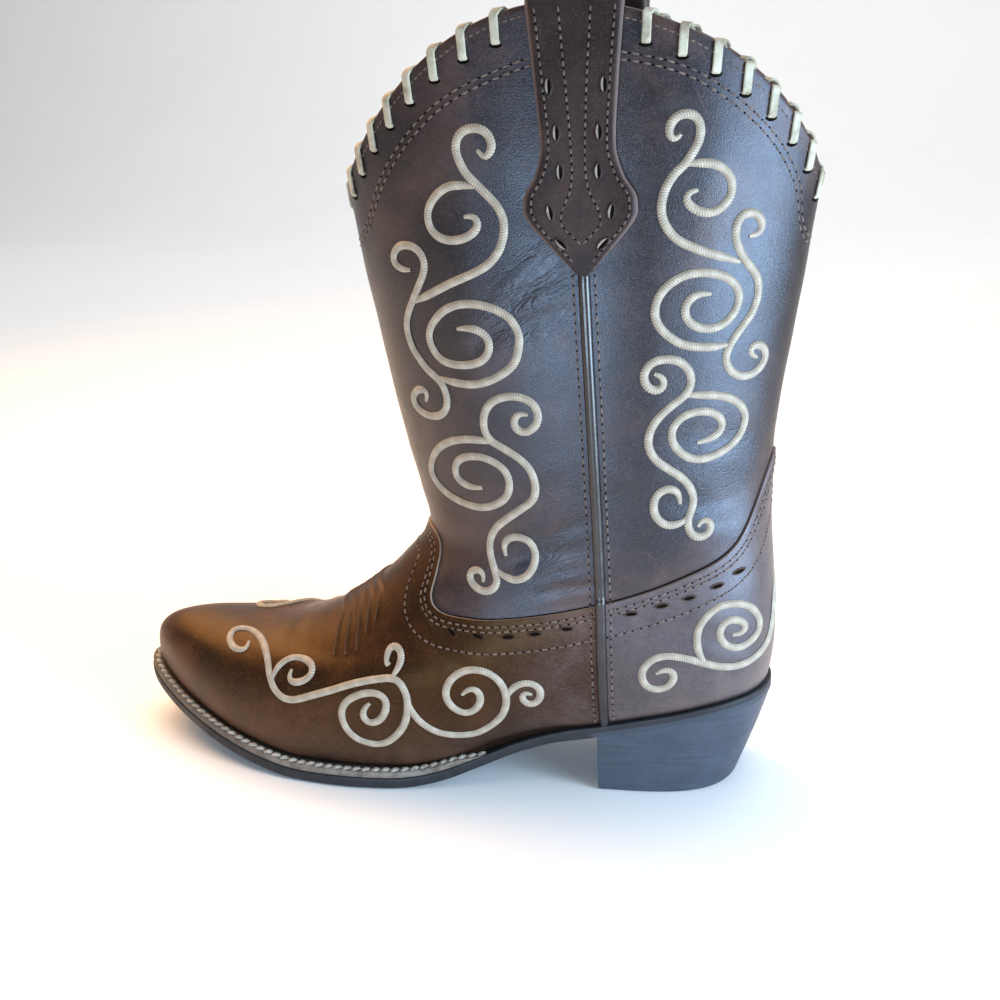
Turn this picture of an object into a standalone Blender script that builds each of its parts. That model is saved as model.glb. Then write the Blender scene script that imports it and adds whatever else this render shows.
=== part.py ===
"""A western boot for the left foot: welted sole, underslung heel, hollow upper, side piping and pull straps.

Sizes are millimetres and the meshes are metres. +Z is up, the toe points to -X and the outer side faces -Y.
The origin is the middle of the heel's flat bottom. "Along" is the distance from the heel's back to the front.
"Turn" goes round the boot from the toe (0) over the outer side (90 degrees) to the heel (180 degrees).
"Level" counts the rings of the last, from the feather edge above the sole (0) up to the shaft's top.
"""

import math

import bmesh
import bpy
import numpy as np

# Driving sizes
LENGTH = 283.0
BALL_WIDTH = 84.0
INSTEP = 103.0
HEEL_SEAT = 43.2
SHAFT = 196.0
TOE_SWING = 12.0
SWING_START = 150.0
WAIST_BOW = 3.5
BOW_END = 190.0
HEEL_CENTRE = 40.0

# Leather and sole thicknesses
WALL = 1.9
OVERLAY = 0.9
GAP = 0.3
OUTSOLE = 4.6
WELT = 2.6
INSOLE = 2.6
STRAP = 2.0
PIPING_WIDTH = 4.2
PIPING_HEIGHT = 2.2

# How far the sole's edge stands out from the upper
WELT_REACH = 5.6
SEAT_REACH = 1.6
TRIM_TURNS = (78.0, 112.0)
EDGE_CHAMFER = (0.8, 1.0)
BALL_FLAT = (152.0, 190.0)

# Welt: where it ends, how the upper's edge climbs on to it, and how far its edges lie in
WELT_END = 119.0
WELT_RAMP = (65.0, 113.0)
RABBET_END = (113.0, 115.0)
WELT_INSET = 0.4
WELT_TUCK = 3.0
FILLER_TUCK = 5.8
INSOLE_TUCK = 0.5

# Heel block
BREAST = 68.0
UNDERSLING = 12.5
UNDERSLING_FADE = 1.5
BACK_HOLLOW = 1.15
HEEL_TAPER = 0.94
HEEL_SHARES = (0.0, 0.35, 0.7, 1.0)

# Collar: dips at front and back, a hump on each side
FRONT_DIP = 239.0
BACK_DIP = 236.0
HUMP = 298.0
FRONT_SWEEP = 2.1
BACK_SWEEP = 1.4
DIP_ROUND = 0.02

# Pull straps: tail below the hump, loop above it
TAIL = 87.0
INSIDE_TAIL = 45.0
LOOP_RISE = 28.0
LOOP_GAP = 16.0
LOOP_FOOT = 1.5
LOOP_SHAPE = 0.6
LOOP_BELLY = 1.9

# Side seam, along at the sole and at the top
SEAM_LOW = 65.0
SEAM_HIGH = 71.0
PIPING_STEP = 0.25
PIPING_STOP = 0.12

# Height of the sole's lower face: along, height
SOLE_PROFILE = (
    (0.0, 38.2),
    (20.0, 35.6),
    (40.0, 31.4),
    (68.0, 25.2),
    (84.0, 21.6),
    (100.0, 16.2),
    (116.0, 9.2),
    (130.0, 3.6),
    (142.0, 0.8),
    (152.0, 0.0),
    (190.0, 0.0),
    (215.0, 2.9),
    (240.0, 8.2),
    (262.0, 14.4),
    (283.0, 21.4),
)

# Rings of the foot. front: share of length. front_z: share of instep. back: mm in from the heel's back.
# rise: mm above the heel seat. toe, ball, waist, heel: half widths as shares of half the ball width.
# sag: how far the ring follows the sole's curve.
#    front, front_z, back, rise, toe, ball, waist, heel, sag
FOOT_RINGS = (
    (0.976, 0.290, 3.0, 0.0, 0.70, 1.00, 0.69, 1.31, 1.00),
    (0.982, 0.350, 1.6, 8.0, 0.77, 1.06, 0.78, 1.40, 0.97),
    (0.972, 0.455, 0.9, 16.0, 0.82, 1.08, 0.84, 1.40, 0.92),
    (0.928, 0.548, 1.0, 24.0, 0.84, 1.06, 0.87, 1.36, 0.80),
    (0.850, 0.590, 1.3, 32.0, 0.86, 1.00, 0.89, 1.30, 0.62),
    (0.752, 0.606, 1.7, 39.0, 0.85, 0.94, 0.90, 1.23, 0.42),
    (0.665, 0.650, 2.2, 46.0, 0.84, 0.90, 0.89, 1.16, 0.22),
    (0.594, 0.740, 2.8, 54.0, 0.81, 0.88, 0.88, 1.08, 0.10),
    (0.537, 0.865, 3.4, 63.0, 0.78, 0.87, 0.88, 1.02, 0.03),
    (0.498, 1.000, 3.9, 73.0, 0.74, 0.87, 0.88, 0.94, 0.00),
)

# Rings of the shaft. rise: share of the shaft above the throat. front, back: along in mm.
# tilt: how much higher the back is, mm. fold, side: half widths as shares of half the ball width.
#    rise, front, back, tilt, fold, side
SHAFT_RINGS = (
    (0.09, 143.5, 3.9, 6.0, 0.72, 0.89),
    (0.19, 147.8, 3.3, 2.0, 0.70, 0.91),
    (0.29, 152.2, 1.4, 0.0, 0.69, 0.93),
    (0.44, 157.4, -2.9, 0.0, 0.68, 0.95),
    (0.565, 161.6, -6.3, 0.0, 0.68, 0.96),
    (0.69, 165.0, -9.8, 0.0, 0.68, 0.96),
    (0.83, 168.0, -12.8, 0.0, 0.68, 0.96),
    (1.02, 171.0, -15.5, 0.0, 0.68, 0.95),
)

# Upper edge of the vamp and counter: turn in degrees, height at the surface
OVERLAY_EDGE = (
    (0.0, 105.0),
    (30.0, 101.0),
    (41.0, 92.0),
    (49.0, 82.0),
    (58.0, 77.0),
    (72.0, 76.0),
    (88.0, 79.0),
    (105.0, 85.0),
    (128.0, 96.0),
    (145.0, 106.0),
    (156.0, 119.0),
    (168.0, 133.0),
    (180.0, 139.0),
)

# Strap outline, from the tail's tip: mm up the strap, width
STRAP_WIDTHS = (
    (0.0, 3.0),
    (9.0, 20.0),
    (20.0, 38.0),
    (25.0, 38.5),
    (33.0, 30.0),
    (43.0, 25.0),
    (62.0, 27.5),
    (87.0, 32.0),
)

# Section of the piping: shares of its width and height
PIPING_RING = ((-0.5, 0.0), (-0.42, 0.45), (-0.2, 0.86), (0.2, 0.86), (0.42, 0.45), (0.5, 0.0))

# Turns, in degrees, at which the ring's half width is the ball's and the waist's
BALL_TURN = 62.0
WAIST_TURN = 108.0

# The foot's swing fades up the rings, and the wall stands upright at the feather edge
SWING_FADE = 1.5
UPRIGHT = 0.8

# Mesh
AROUND = 64
STEP_SHARE = 0.012
PLAN_POINTS = 720
SOLE_STATIONS = 48
INSOLE_STATIONS = 30
HEEL_STATIONS = 22
WELT_STATIONS = 57
LOOP_STATIONS = 13
END_FLAT = 0.25
CREASE = 35.0
LEVELS = len(FOOT_RINGS) + len(SHAFT_RINGS) - 1
MM = 0.001

# Colours, roughness
FINISHES = {
    "outsole": ((0.030, 0.033, 0.040), 0.55),
    "heel": ((0.055, 0.065, 0.082), 0.50),
    "welt": ((0.230, 0.130, 0.070), 0.60),
    "insole": ((0.330, 0.210, 0.120), 0.80),
    "upper": ((0.085, 0.042, 0.028), 0.45),
    "piping": ((0.070, 0.035, 0.026), 0.35),
    "strap": ((0.090, 0.045, 0.030), 0.45),
}


def smooth_curve(points, at):
    """A smooth curve through the points, with no overshoot between them."""
    points = np.asarray(points, float)
    x, y = points[:, 0], points[:, 1]
    slope = np.diff(y) / np.diff(x)
    tangent = np.concatenate([slope[:1], (slope[1:] + slope[:-1]) / 2, slope[-1:]])
    tangent[1:-1][slope[1:] * slope[:-1] <= 0] = 0.0
    at = np.clip(np.asarray(at, float), x[0], x[-1])
    k = np.clip(np.searchsorted(x, at, side="right") - 1, 0, len(x) - 2)
    step = x[k + 1] - x[k]
    s = (at - x[k]) / step
    start = (2 * s**3 - 3 * s**2 + 1) * y[k] + (s**3 - 2 * s**2 + s) * step * tangent[k]
    end = (3 * s**2 - 2 * s**3) * y[k + 1] + (s**3 - s**2) * step * tangent[k + 1]
    return start + end


def ease(x, low, high):
    s = np.clip((np.asarray(x, float) - low) / (high - low), 0.0, 1.0)
    return s * s * (3 - 2 * s)


def side_degrees(turn):
    """The turn in degrees from the toe, the same on both sides."""
    return np.degrees(np.arccos(np.clip(np.cos(turn), -1, 1)))


def sole_bottom(along):
    return smooth_curve(SOLE_PROFILE, along)


def feather_height(along):
    """Height of the upper's lower edge: sole, and the welt where there is one."""
    welted = ease(along, *WELT_RAMP)
    return sole_bottom(along) + OUTSOLE + GAP + welted * (WELT + GAP)


def ring_table():
    """All rings in millimetres: front, front_z, back, back_z, toe, ball, waist, heel, sag."""
    half = BALL_WIDTH / 2
    rows = []
    for front, front_z, back, rise, toe, ball, waist, heel, sag in FOOT_RINGS:
        widths = (toe * half, ball * half, waist * half, heel * half)
        rows.append((front * LENGTH, front_z * INSTEP, back, HEEL_SEAT + rise, *widths, sag))
    for rise, front, back, tilt, fold, side in SHAFT_RINGS:
        height = INSTEP + rise * SHAFT
        widths = (fold * half, side * half, side * half, fold * half)
        rows.append((front, height, back, height + tilt, *widths, 0.0))
    return np.array(rows)


RINGS = ring_table()


def ring_at(level):
    """Ring values at a level between the table's rows, through all rows smoothly."""
    level = np.clip(np.asarray(level, float), 0.0, LEVELS)
    k = np.clip(np.floor(level).astype(int), 0, LEVELS - 1)
    s = (level - k)[..., None]
    before = RINGS[np.maximum(k - 1, 0)]
    here = RINGS[k]
    after = RINGS[k + 1]
    beyond = RINGS[np.minimum(k + 2, LEVELS)]
    bend = 2 * before - 5 * here + 4 * after - beyond
    twist = 3 * (here - after) + beyond - before
    return np.moveaxis(here + 0.5 * s * (after - before + s * (bend + s * twist)), -1, 0)


def axis_shift(along):
    """The last's middle line: it bows out at the waist and swings in at the toe."""
    waist = WAIST_BOW * np.sin(np.pi * np.clip(along / BOW_END, 0.0, 1.0))
    toe = TOE_SWING * (np.clip(along - SWING_START, 0.0, None) / (LENGTH - SWING_START)) ** 2
    return toe - waist


def last_point(turn, level):
    """A point of the upper's base surface, in millimetres."""
    turn, level = np.broadcast_arrays(np.asarray(turn, float), np.asarray(level, float))
    front, front_z, back, back_z, toe, ball, waist, heel, sag = ring_at(level)
    share = (1 - np.cos(turn)) / 2
    side = side_degrees(turn)
    half = toe + (ball - toe) * ease(side, 0, BALL_TURN)
    half = half + (waist - ball) * ease(side, BALL_TURN, WAIST_TURN)
    half = half + (heel - waist) * ease(side, WAIST_TURN, 180)
    along = front + (back - front) * share
    flat = RINGS[0]
    straight = flat[1] + (flat[3] - flat[1]) * (flat[0] - along) / (flat[0] - flat[2])
    height = front_z + (back_z - front_z) * share + sag * (feather_height(along) - straight)
    across = axis_shift(along) * np.clip(sag * SWING_FADE, 0.0, 1.0) - half * np.sin(turn)
    return np.stack([HEEL_CENTRE - along, across, height], axis=-1)


def outward(turn, level):
    """Unit normal of the base surface, turned level at the feather edge."""
    step = 1e-3
    low = np.maximum(np.asarray(level, float) - step, 0.0)
    high = np.minimum(np.asarray(level, float) + step, LEVELS)
    along_turn = last_point(turn + step, level) - last_point(turn - step, level)
    along_level = last_point(turn, high) - last_point(turn, low)
    normal = np.cross(along_turn, along_level)
    normal[..., 2] *= ease(level, 0.0, UPRIGHT)
    return normal / np.linalg.norm(normal, axis=-1, keepdims=True)


def skin(turn, level, offset):
    """A point at a distance outside (or, negative, inside) the base surface."""
    turn, level = np.broadcast_arrays(np.asarray(turn, float), np.asarray(level, float))
    return last_point(turn, level) + np.asarray(offset)[..., None] * outward(turn, level)


def level_of_height(turn, height):
    """The level at which the base surface reaches a height, for each turn."""
    levels = np.linspace(1.0, LEVELS, 400)
    turn, height = np.broadcast_arrays(np.asarray(turn, float), np.asarray(height, float))
    found = np.empty(turn.shape)
    for place in np.ndindex(turn.shape):
        found[place] = np.interp(height[place], last_point(turn[place], levels)[:, 2], levels)
    return found


def rim_height(turn):
    """The scalloped collar's height."""
    swing = np.sqrt(np.sin(turn) ** 2 + DIP_ROUND**2) / math.hypot(1.0, DIP_ROUND)
    front = FRONT_DIP + (HUMP - FRONT_DIP) * swing**FRONT_SWEEP
    back = BACK_DIP + (HUMP - BACK_DIP) * swing**BACK_SWEEP
    return np.where(np.cos(turn) > 0, front, back)


def rim_level(turn):
    return level_of_height(turn, rim_height(turn))


def overlay_level(turn):
    """Upper edge of the vamp and counter."""
    return level_of_height(turn, smooth_curve(OVERLAY_EDGE, side_degrees(turn)))


def seam_turn(level, side):
    """Turn of the side seam: side is 1 for the outer side and -1 for the inner."""
    front, front_z, back, back_z = ring_at(level)[:4]
    up = ease((front_z + back_z) / 2, HEEL_SEAT, HUMP)
    share = (front - (SEAM_LOW + (SEAM_HIGH - SEAM_LOW) * up)) / (front - back)
    return side * np.arccos(1 - 2 * share)


def add_mesh(name, finish, rows, wrap):
    """One object from rows of points, each closed on itself. The rows end in caps or, wrapped, in a ring."""
    mesh = bmesh.new()
    grid = [[mesh.verts.new(np.asarray(p) * MM) for p in row] for row in rows]
    count = len(grid[0])
    pairs = list(zip(grid, grid[1:]))
    if wrap:
        pairs.append((grid[-1], grid[0]))
    for first, second in pairs:
        for i in range(count):
            j = (i + 1) % count
            mesh.faces.new((first[i], first[j], second[j], second[i]))
    if not wrap:
        mesh.faces.new(reversed(grid[0]))
        mesh.faces.new(grid[-1])
    bmesh.ops.remove_doubles(mesh, verts=mesh.verts, dist=1e-7)
    bmesh.ops.dissolve_degenerate(mesh, edges=mesh.edges, dist=1e-7)
    bmesh.ops.recalc_face_normals(mesh, faces=mesh.faces)
    data = bpy.data.meshes.new(name)
    mesh.to_mesh(data)
    mesh.free()
    data.materials.append(material(finish))
    data.shade_smooth()
    data.set_sharp_from_angle(angle=math.radians(CREASE))
    part = bpy.data.objects.new(name, data)
    bpy.data.collections["western_boot"].objects.link(part)
    return part


def material(finish):
    made = bpy.data.materials.get(finish)
    if made:
        return made
    colour, roughness = FINISHES[finish]
    made = bpy.data.materials.new(finish)
    made.use_nodes = True
    shader = made.node_tree.nodes["Principled BSDF"]
    shader.inputs["Base Color"].default_value = (*colour, 1.0)
    shader.inputs["Roughness"].default_value = roughness
    shader.inputs["Metallic"].default_value = 0.0
    return made


def make_upper():
    """Vamp, counter and shaft as one wall, open at the collar and underneath."""
    turn = np.arange(AROUND) * 2 * np.pi / AROUND
    edge, rim = overlay_level(turn), rim_level(turn)
    none = np.zeros(AROUND)
    foot = [edge * s for s in np.linspace(0.0, 1.0, 17)]
    shaft = [edge + (rim - edge) * s for s in (STEP_SHARE, *np.linspace(0.1, 1.0, 10))]
    rows = [skin(turn, level, none + OVERLAY) for level in foot]
    rows += [skin(turn, level, none) for level in shaft]
    rows += [skin(turn, level, none - WALL) for level in reversed([*foot[::2], *shaft[2::2]])]
    add_mesh("upper", "upper", rows, wrap=True)


def plan_outline(offset):
    """The feather edge's outline from above, moved outward: along and across, one point per turn."""
    turn = np.arange(PLAN_POINTS) * 2 * np.pi / PLAN_POINTS
    edge = last_point(turn, 0.0)[:, :2]
    run = np.roll(edge, -1, axis=0) - np.roll(edge, 1, axis=0)
    normal = np.stack([-run[:, 1], run[:, 0]], axis=1)
    normal /= np.linalg.norm(normal, axis=1, keepdims=True)
    normal *= np.sign((normal * (edge - edge.mean(axis=0))).sum(axis=1, keepdims=True))
    side = side_degrees(turn)
    moved = edge + normal * np.broadcast_to(offset(side), side.shape)[:, None]
    return np.stack([HEEL_CENTRE - moved[:, 0], moved[:, 1]], axis=1)


def sole_reach(side):
    """How far the sole's edge stands out, from the welted forefoot to the close-trimmed waist and seat."""
    return OVERLAY + WELT_REACH + (SEAT_REACH - WELT_REACH) * ease(side, *TRIM_TURNS)


def across_at(outline, along):
    """Outer (low y) and inner (high y) edges of an outline at distances along the sole."""
    heel = int(np.argmin(outline[:, 0]))
    toe = int(np.argmax(outline[:, 0]))
    turned = np.roll(outline, -toe, axis=0)
    heel = (heel - toe) % len(outline)
    outer = turned[: heel + 1]
    inner = np.concatenate([turned[heel:], turned[:1]])
    low = np.interp(along, outer[::-1, 0], outer[::-1, 1])
    high = np.interp(along, inner[:, 0], inner[:, 1])
    return low, high


def stations(outline, count, extra=()):
    """Distances along an outline, close together at its round ends, which stop just short of their tips."""
    first = outline[:, 0].min() + END_FLAT
    last = outline[:, 0].max() - END_FLAT
    spread = first + (last - first) * (1 - np.cos(np.pi * np.arange(count) / (count - 1))) / 2
    return np.array(sorted({*spread.tolist(), *extra}))


def make_outsole():
    """The sole board: lower face with arch and toe spring, and a rabbet that the welt lies in."""
    edge = plan_outline(sole_reach)
    tread = plan_outline(lambda side: sole_reach(side) - EDGE_CHAMFER[0])
    filler = plan_outline(lambda side: -WALL - FILLER_TUCK)
    rows = []
    toe_fill = filler[:, 0].max()
    marks = (*BALL_FLAT, *RABBET_END, toe_fill - END_FLAT, toe_fill + END_FLAT)
    for along in stations(edge, SOLE_STATIONS, marks):
        low, high = across_at(edge, along)
        within = np.clip(along, tread[:, 0].min() + END_FLAT, tread[:, 0].max() - END_FLAT)
        tread_low, tread_high = across_at(tread, within)
        bottom = sole_bottom(along)
        side_z = bottom + EDGE_CHAMFER[1]
        top = feather_height(along) - GAP
        ledge = top - (WELT + GAP) if along > sum(RABBET_END) / 2 else top
        fill_low, fill_high = across_at(filler, along)
        if not filler[:, 0].min() < along < filler[:, 0].max():
            fill_low, fill_high = low * 0.6 + high * 0.4, low * 0.4 + high * 0.6
            top = ledge
        x = HEEL_CENTRE - along
        rows.append(
            (
                (x, tread_low, bottom),
                (x, tread_high, bottom),
                (x, high, side_z),
                (x, high, ledge),
                (x, fill_high, ledge),
                (x, fill_high, top),
                (x, fill_low, top),
                (x, fill_low, ledge),
                (x, low, ledge),
                (x, low, side_z),
            )
        )
    add_mesh("outsole", "outsole", rows, wrap=False)


def make_welt():
    """The strip round the forefoot, from waist to waist."""
    outer = plan_outline(lambda side: sole_reach(side) - WELT_INSET)
    inner = plan_outline(lambda side: -WALL - WELT_TUCK)
    turns = np.arange(len(outer))
    near = turns[(turns < len(outer) // 2) & (outer[:, 0] > WELT_END)].max()
    far = turns[(turns > len(outer) // 2) & (outer[:, 0] > WELT_END)].min() - len(outer)
    rows = []
    for turn in np.linspace(far, near, WELT_STATIONS).round().astype(int):
        corners = []
        for edge, lower in ((inner, True), (outer, True), (outer, False), (inner, False)):
            along, across = edge[turn % len(edge)]
            top = feather_height(along) - GAP
            corners.append((HEEL_CENTRE - along, across, top - WELT if lower else top))
        rows.append(corners)
    add_mesh("welt", "welt", rows, wrap=False)


def make_insole():
    edge = plan_outline(lambda side: -WALL - INSOLE_TUCK)
    rows = []
    for along in stations(edge, INSOLE_STATIONS):
        low, high = across_at(edge, along)
        floor = feather_height(along)
        x = HEEL_CENTRE - along
        rows.append(((x, low, floor), (x, high, floor), (x, high, floor + INSOLE), (x, low, floor + INSOLE)))
    add_mesh("insole", "insole", rows, wrap=False)


def make_heel():
    """The block under the seat: its back slopes in towards the floor and its breast is straight."""
    edge = plan_outline(lambda side: sole_reach(side) - GAP)
    back = edge[:, 0].min() + END_FLAT
    spread = 1 - np.sin(np.linspace(0, np.pi / 2, HEEL_STATIONS))
    rows = []
    for along in back + (BREAST - back) * spread[::-1]:
        low, high = across_at(edge, along)
        top = sole_bottom(along) - GAP
        under = UNDERSLING * ((BREAST - along) / (BREAST - back)) ** UNDERSLING_FADE
        ring = []
        for share in HEEL_SHARES:
            x = HEEL_CENTRE - along - under * (1 - share) ** BACK_HOLLOW
            slim = HEEL_TAPER + (1 - HEEL_TAPER) * share
            ring.append((x, (low * slim, high * slim), top * share))
        rows.append([(x, y[0], z) for x, y, z in ring] + [(x, y[1], z) for x, y, z in reversed(ring)])
    add_mesh("heel", "heel", rows, wrap=False)


def strip_turn(centre, level, distance):
    """The turn that lies a distance round the surface from a centre line."""
    step = 1e-3
    chord = last_point(centre + step, level) - last_point(centre - step, level)
    return centre + distance * 2 * step / np.linalg.norm(chord, axis=-1)


def make_piping(name, side):
    """The half-round cord over a side seam, from the sole up to the strap's tip."""
    tip = level_of_height(side * np.pi / 2, HUMP - TAIL) - PIPING_STOP
    edge = overlay_level(seam_turn(len(FOOT_RINGS) / 2, side))
    levels = [*np.linspace(PIPING_STEP, edge, 14), *np.linspace(edge + PIPING_STEP, tip, 14)]
    rows = []
    for level in levels:
        base = GAP + OVERLAY * (1 - ease(level, edge, edge + PIPING_STEP))
        centre = seam_turn(level, side)
        row = []
        for across, lift in PIPING_RING:
            turn = strip_turn(centre, level, across * PIPING_WIDTH)
            row.append(skin(turn, level, base + lift * PIPING_HEIGHT))
        rows.append(row)
    add_mesh(name, "piping", rows, wrap=False)


def make_strap(name, side):
    """The pull strap: arrowhead tail outside, a loop over the hump, and a plain tail inside."""
    top_turn = seam_turn(LEVELS - 0.2, side)
    stand = GAP + STRAP / 2
    sunk = WALL + GAP + STRAP / 2
    rows = []

    def add_row(points, normals):
        points, normals = np.asarray(points), np.asarray(normals)
        rows.append([*(points + normals * STRAP / 2), *(points - normals * STRAP / 2)[::-1]])

    across = np.linspace(-0.5, 0.5, 5)
    for up in (0.0, 4.0, 9.0, 15.0, 20.0, 25.0, 33.0, 43.0, 52.0, 62.0, 75.0, TAIL):
        level = level_of_height(top_turn, HUMP - TAIL + up)
        turn = strip_turn(seam_turn(level, side), level, across * smooth_curve(STRAP_WIDTHS, up))
        add_row(skin(turn, level, stand), outward(turn, level))

    level = level_of_height(top_turn, HUMP)
    turn = strip_turn(seam_turn(level, side), level, across * STRAP_WIDTHS[-1][1])
    foot = last_point(turn, level)
    out = outward(turn, level)
    out[:, 2] = 0.0
    out /= np.linalg.norm(out, axis=1, keepdims=True)
    middle = (stand - sunk) / 2
    narrow = (stand + sunk) / 2
    wide = (LOOP_GAP + STRAP) / 2
    for angle in np.radians(np.linspace(0, 180, LOOP_STATIONS)):
        bulge = min(1.0, LOOP_BELLY * math.sin(angle) ** 0.5)
        reach = math.cos(angle)
        spread = narrow + (wide - narrow) * bulge
        lift = LOOP_FOOT + LOOP_RISE * math.sin(angle) ** LOOP_SHAPE
        points = foot + out * (middle + spread * reach) + np.array([0.0, 0.0, lift])
        tilt = math.atan2(math.sin(angle), reach)
        add_row(points, out * math.cos(tilt) + np.array([0.0, 0.0, math.sin(tilt)]))

    for down in np.linspace(4.0, INSIDE_TAIL, 6):
        level = level_of_height(top_turn, HUMP - down)
        turn = strip_turn(seam_turn(level, side), level, across * STRAP_WIDTHS[-1][1])
        add_row(skin(turn, level, -sunk), -outward(turn, level))
    add_mesh(name, "strap", rows, wrap=False)


def main():
    for old in list(bpy.data.objects):
        bpy.data.objects.remove(old, do_unlink=True)
    boot = bpy.data.collections.new("western_boot")
    bpy.context.scene.collection.children.link(boot)
    make_outsole()
    make_heel()
    make_welt()
    make_insole()
    make_upper()
    for word, side in (("outer", 1), ("inner", -1)):
        make_piping(f"side_piping_{word}", side)
        make_strap(f"pull_strap_{word}", side)


main()
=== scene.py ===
"""The western boot dressed: leather panels, lining, embroidery, thread rows, lacing and sole.

Sizes are millimetres and the meshes are metres. The last is the part's own: "along" runs from the heel's
back, "turn" goes round from the toe (0) over the outer side to the heel (180 degrees), and "level" counts
its rings.
"""

import math

import bpy
import numpy as np
from mathutils import Matrix, Vector
from mathutils.bvhtree import BVHTree


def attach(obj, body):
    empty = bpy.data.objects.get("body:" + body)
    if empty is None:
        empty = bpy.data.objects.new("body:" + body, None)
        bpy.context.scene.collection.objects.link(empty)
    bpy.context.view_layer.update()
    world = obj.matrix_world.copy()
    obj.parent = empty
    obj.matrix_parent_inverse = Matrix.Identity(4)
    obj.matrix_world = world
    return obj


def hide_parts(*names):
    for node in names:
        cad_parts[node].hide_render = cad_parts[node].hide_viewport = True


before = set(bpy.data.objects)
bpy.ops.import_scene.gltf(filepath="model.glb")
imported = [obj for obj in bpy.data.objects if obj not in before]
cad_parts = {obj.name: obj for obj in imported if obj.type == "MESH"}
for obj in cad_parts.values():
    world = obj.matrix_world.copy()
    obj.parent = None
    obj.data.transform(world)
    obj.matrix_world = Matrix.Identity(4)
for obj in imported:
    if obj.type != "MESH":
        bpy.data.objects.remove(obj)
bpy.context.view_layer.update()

# Driving sizes
LENGTH = 283.0
BALL_WIDTH = 84.0
INSTEP = 103.0
HEEL_SEAT = 43.2
SHAFT = 196.0
TOE_SWING = 12.0
SWING_START = 150.0
WAIST_BOW = 3.5
BOW_END = 190.0
HEEL_CENTRE = 40.0

# Leather and sole thicknesses
WALL = 1.9
OVERLAY = 0.9
GAP = 0.3
OUTSOLE = 4.6
WELT = 2.6
INSOLE = 2.6
STRAP = 2.0
PIPING_WIDTH = 4.2
PIPING_HEIGHT = 2.2

# How far the sole's edge stands out from the upper
WELT_REACH = 5.6
SEAT_REACH = 1.6
TRIM_TURNS = (78.0, 112.0)

# Welt: where it ends, how the upper's edge climbs on to it, and how far its outer edge lies in
WELT_END = 119.0
WELT_RAMP = (65.0, 113.0)
WELT_INSET = 0.4

# How far the welt runs on past its end, and where its thickness fades: before and after the end
WELT_RUN_ON = 6.0
WELT_FADE = (7.0, 9.0)

# Slack between the insole and the upper's wall
INSOLE_TUCK = 0.5

# Heel block
BREAST = 68.0
UNDERSLING = 12.5
UNDERSLING_FADE = 1.5
BACK_HOLLOW = 1.15
HEEL_TAPER = 0.94

# Collar: dips at front and back, a hump on each side
FRONT_DIP = 239.0
BACK_DIP = 236.0
HUMP = 298.0
FRONT_SWEEP = 2.1
BACK_SWEEP = 1.4
DIP_ROUND = 0.02

# Pull straps: tail below the hump, loop above it
TAIL = 87.0
INSIDE_TAIL = 45.0
LOOP_RISE = 28.0
LOOP_GAP = 16.0
LOOP_FOOT = 1.5
LOOP_SHAPE = 0.6
LOOP_BELLY = 1.9

# Side seam, along at the sole and at the top
SEAM_LOW = 65.0
SEAM_HIGH = 71.0

# Height of the sole's lower face: along, height
SOLE_PROFILE = (
    (0.0, 38.2),
    (20.0, 35.6),
    (40.0, 31.4),
    (68.0, 25.2),
    (84.0, 21.6),
    (100.0, 16.2),
    (116.0, 9.2),
    (130.0, 3.6),
    (142.0, 0.8),
    (152.0, 0.0),
    (190.0, 0.0),
    (215.0, 2.9),
    (240.0, 8.2),
    (262.0, 14.4),
    (283.0, 21.4),
)

# Rings of the foot. front: share of length. front_z: share of instep. back: mm in from the heel's back.
# rise: mm above the heel seat. toe, ball, waist, heel: half widths as shares of half the ball width.
# sag: how far the ring follows the sole's curve.
#    front, front_z, back, rise, toe, ball, waist, heel, sag
FOOT_RINGS = (
    (0.976, 0.290, 3.0, 0.0, 0.70, 1.00, 0.69, 1.31, 1.00),
    (0.982, 0.350, 1.6, 8.0, 0.77, 1.06, 0.78, 1.40, 0.97),
    (0.972, 0.455, 0.9, 16.0, 0.82, 1.08, 0.84, 1.40, 0.92),
    (0.928, 0.548, 1.0, 24.0, 0.84, 1.06, 0.87, 1.36, 0.80),
    (0.850, 0.590, 1.3, 32.0, 0.86, 1.00, 0.89, 1.30, 0.62),
    (0.752, 0.606, 1.7, 39.0, 0.85, 0.94, 0.90, 1.23, 0.42),
    (0.665, 0.650, 2.2, 46.0, 0.84, 0.90, 0.89, 1.16, 0.22),
    (0.594, 0.740, 2.8, 54.0, 0.81, 0.88, 0.88, 1.08, 0.10),
    (0.537, 0.865, 3.4, 63.0, 0.78, 0.87, 0.88, 1.02, 0.03),
    (0.498, 1.000, 3.9, 73.0, 0.74, 0.87, 0.88, 0.94, 0.00),
)

# Rings of the shaft. rise: share of the shaft above the throat. front, back: along in mm.
# tilt: how much higher the back is, mm. fold, side: half widths as shares of half the ball width.
#    rise, front, back, tilt, fold, side
SHAFT_RINGS = (
    (0.09, 143.5, 3.9, 6.0, 0.72, 0.89),
    (0.19, 147.8, 3.3, 2.0, 0.70, 0.91),
    (0.29, 152.2, 1.4, 0.0, 0.69, 0.93),
    (0.44, 157.4, -2.9, 0.0, 0.68, 0.95),
    (0.565, 161.6, -6.3, 0.0, 0.68, 0.96),
    (0.69, 165.0, -9.8, 0.0, 0.68, 0.96),
    (0.83, 168.0, -12.8, 0.0, 0.68, 0.96),
    (1.02, 171.0, -15.5, 0.0, 0.68, 0.95),
)

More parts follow.
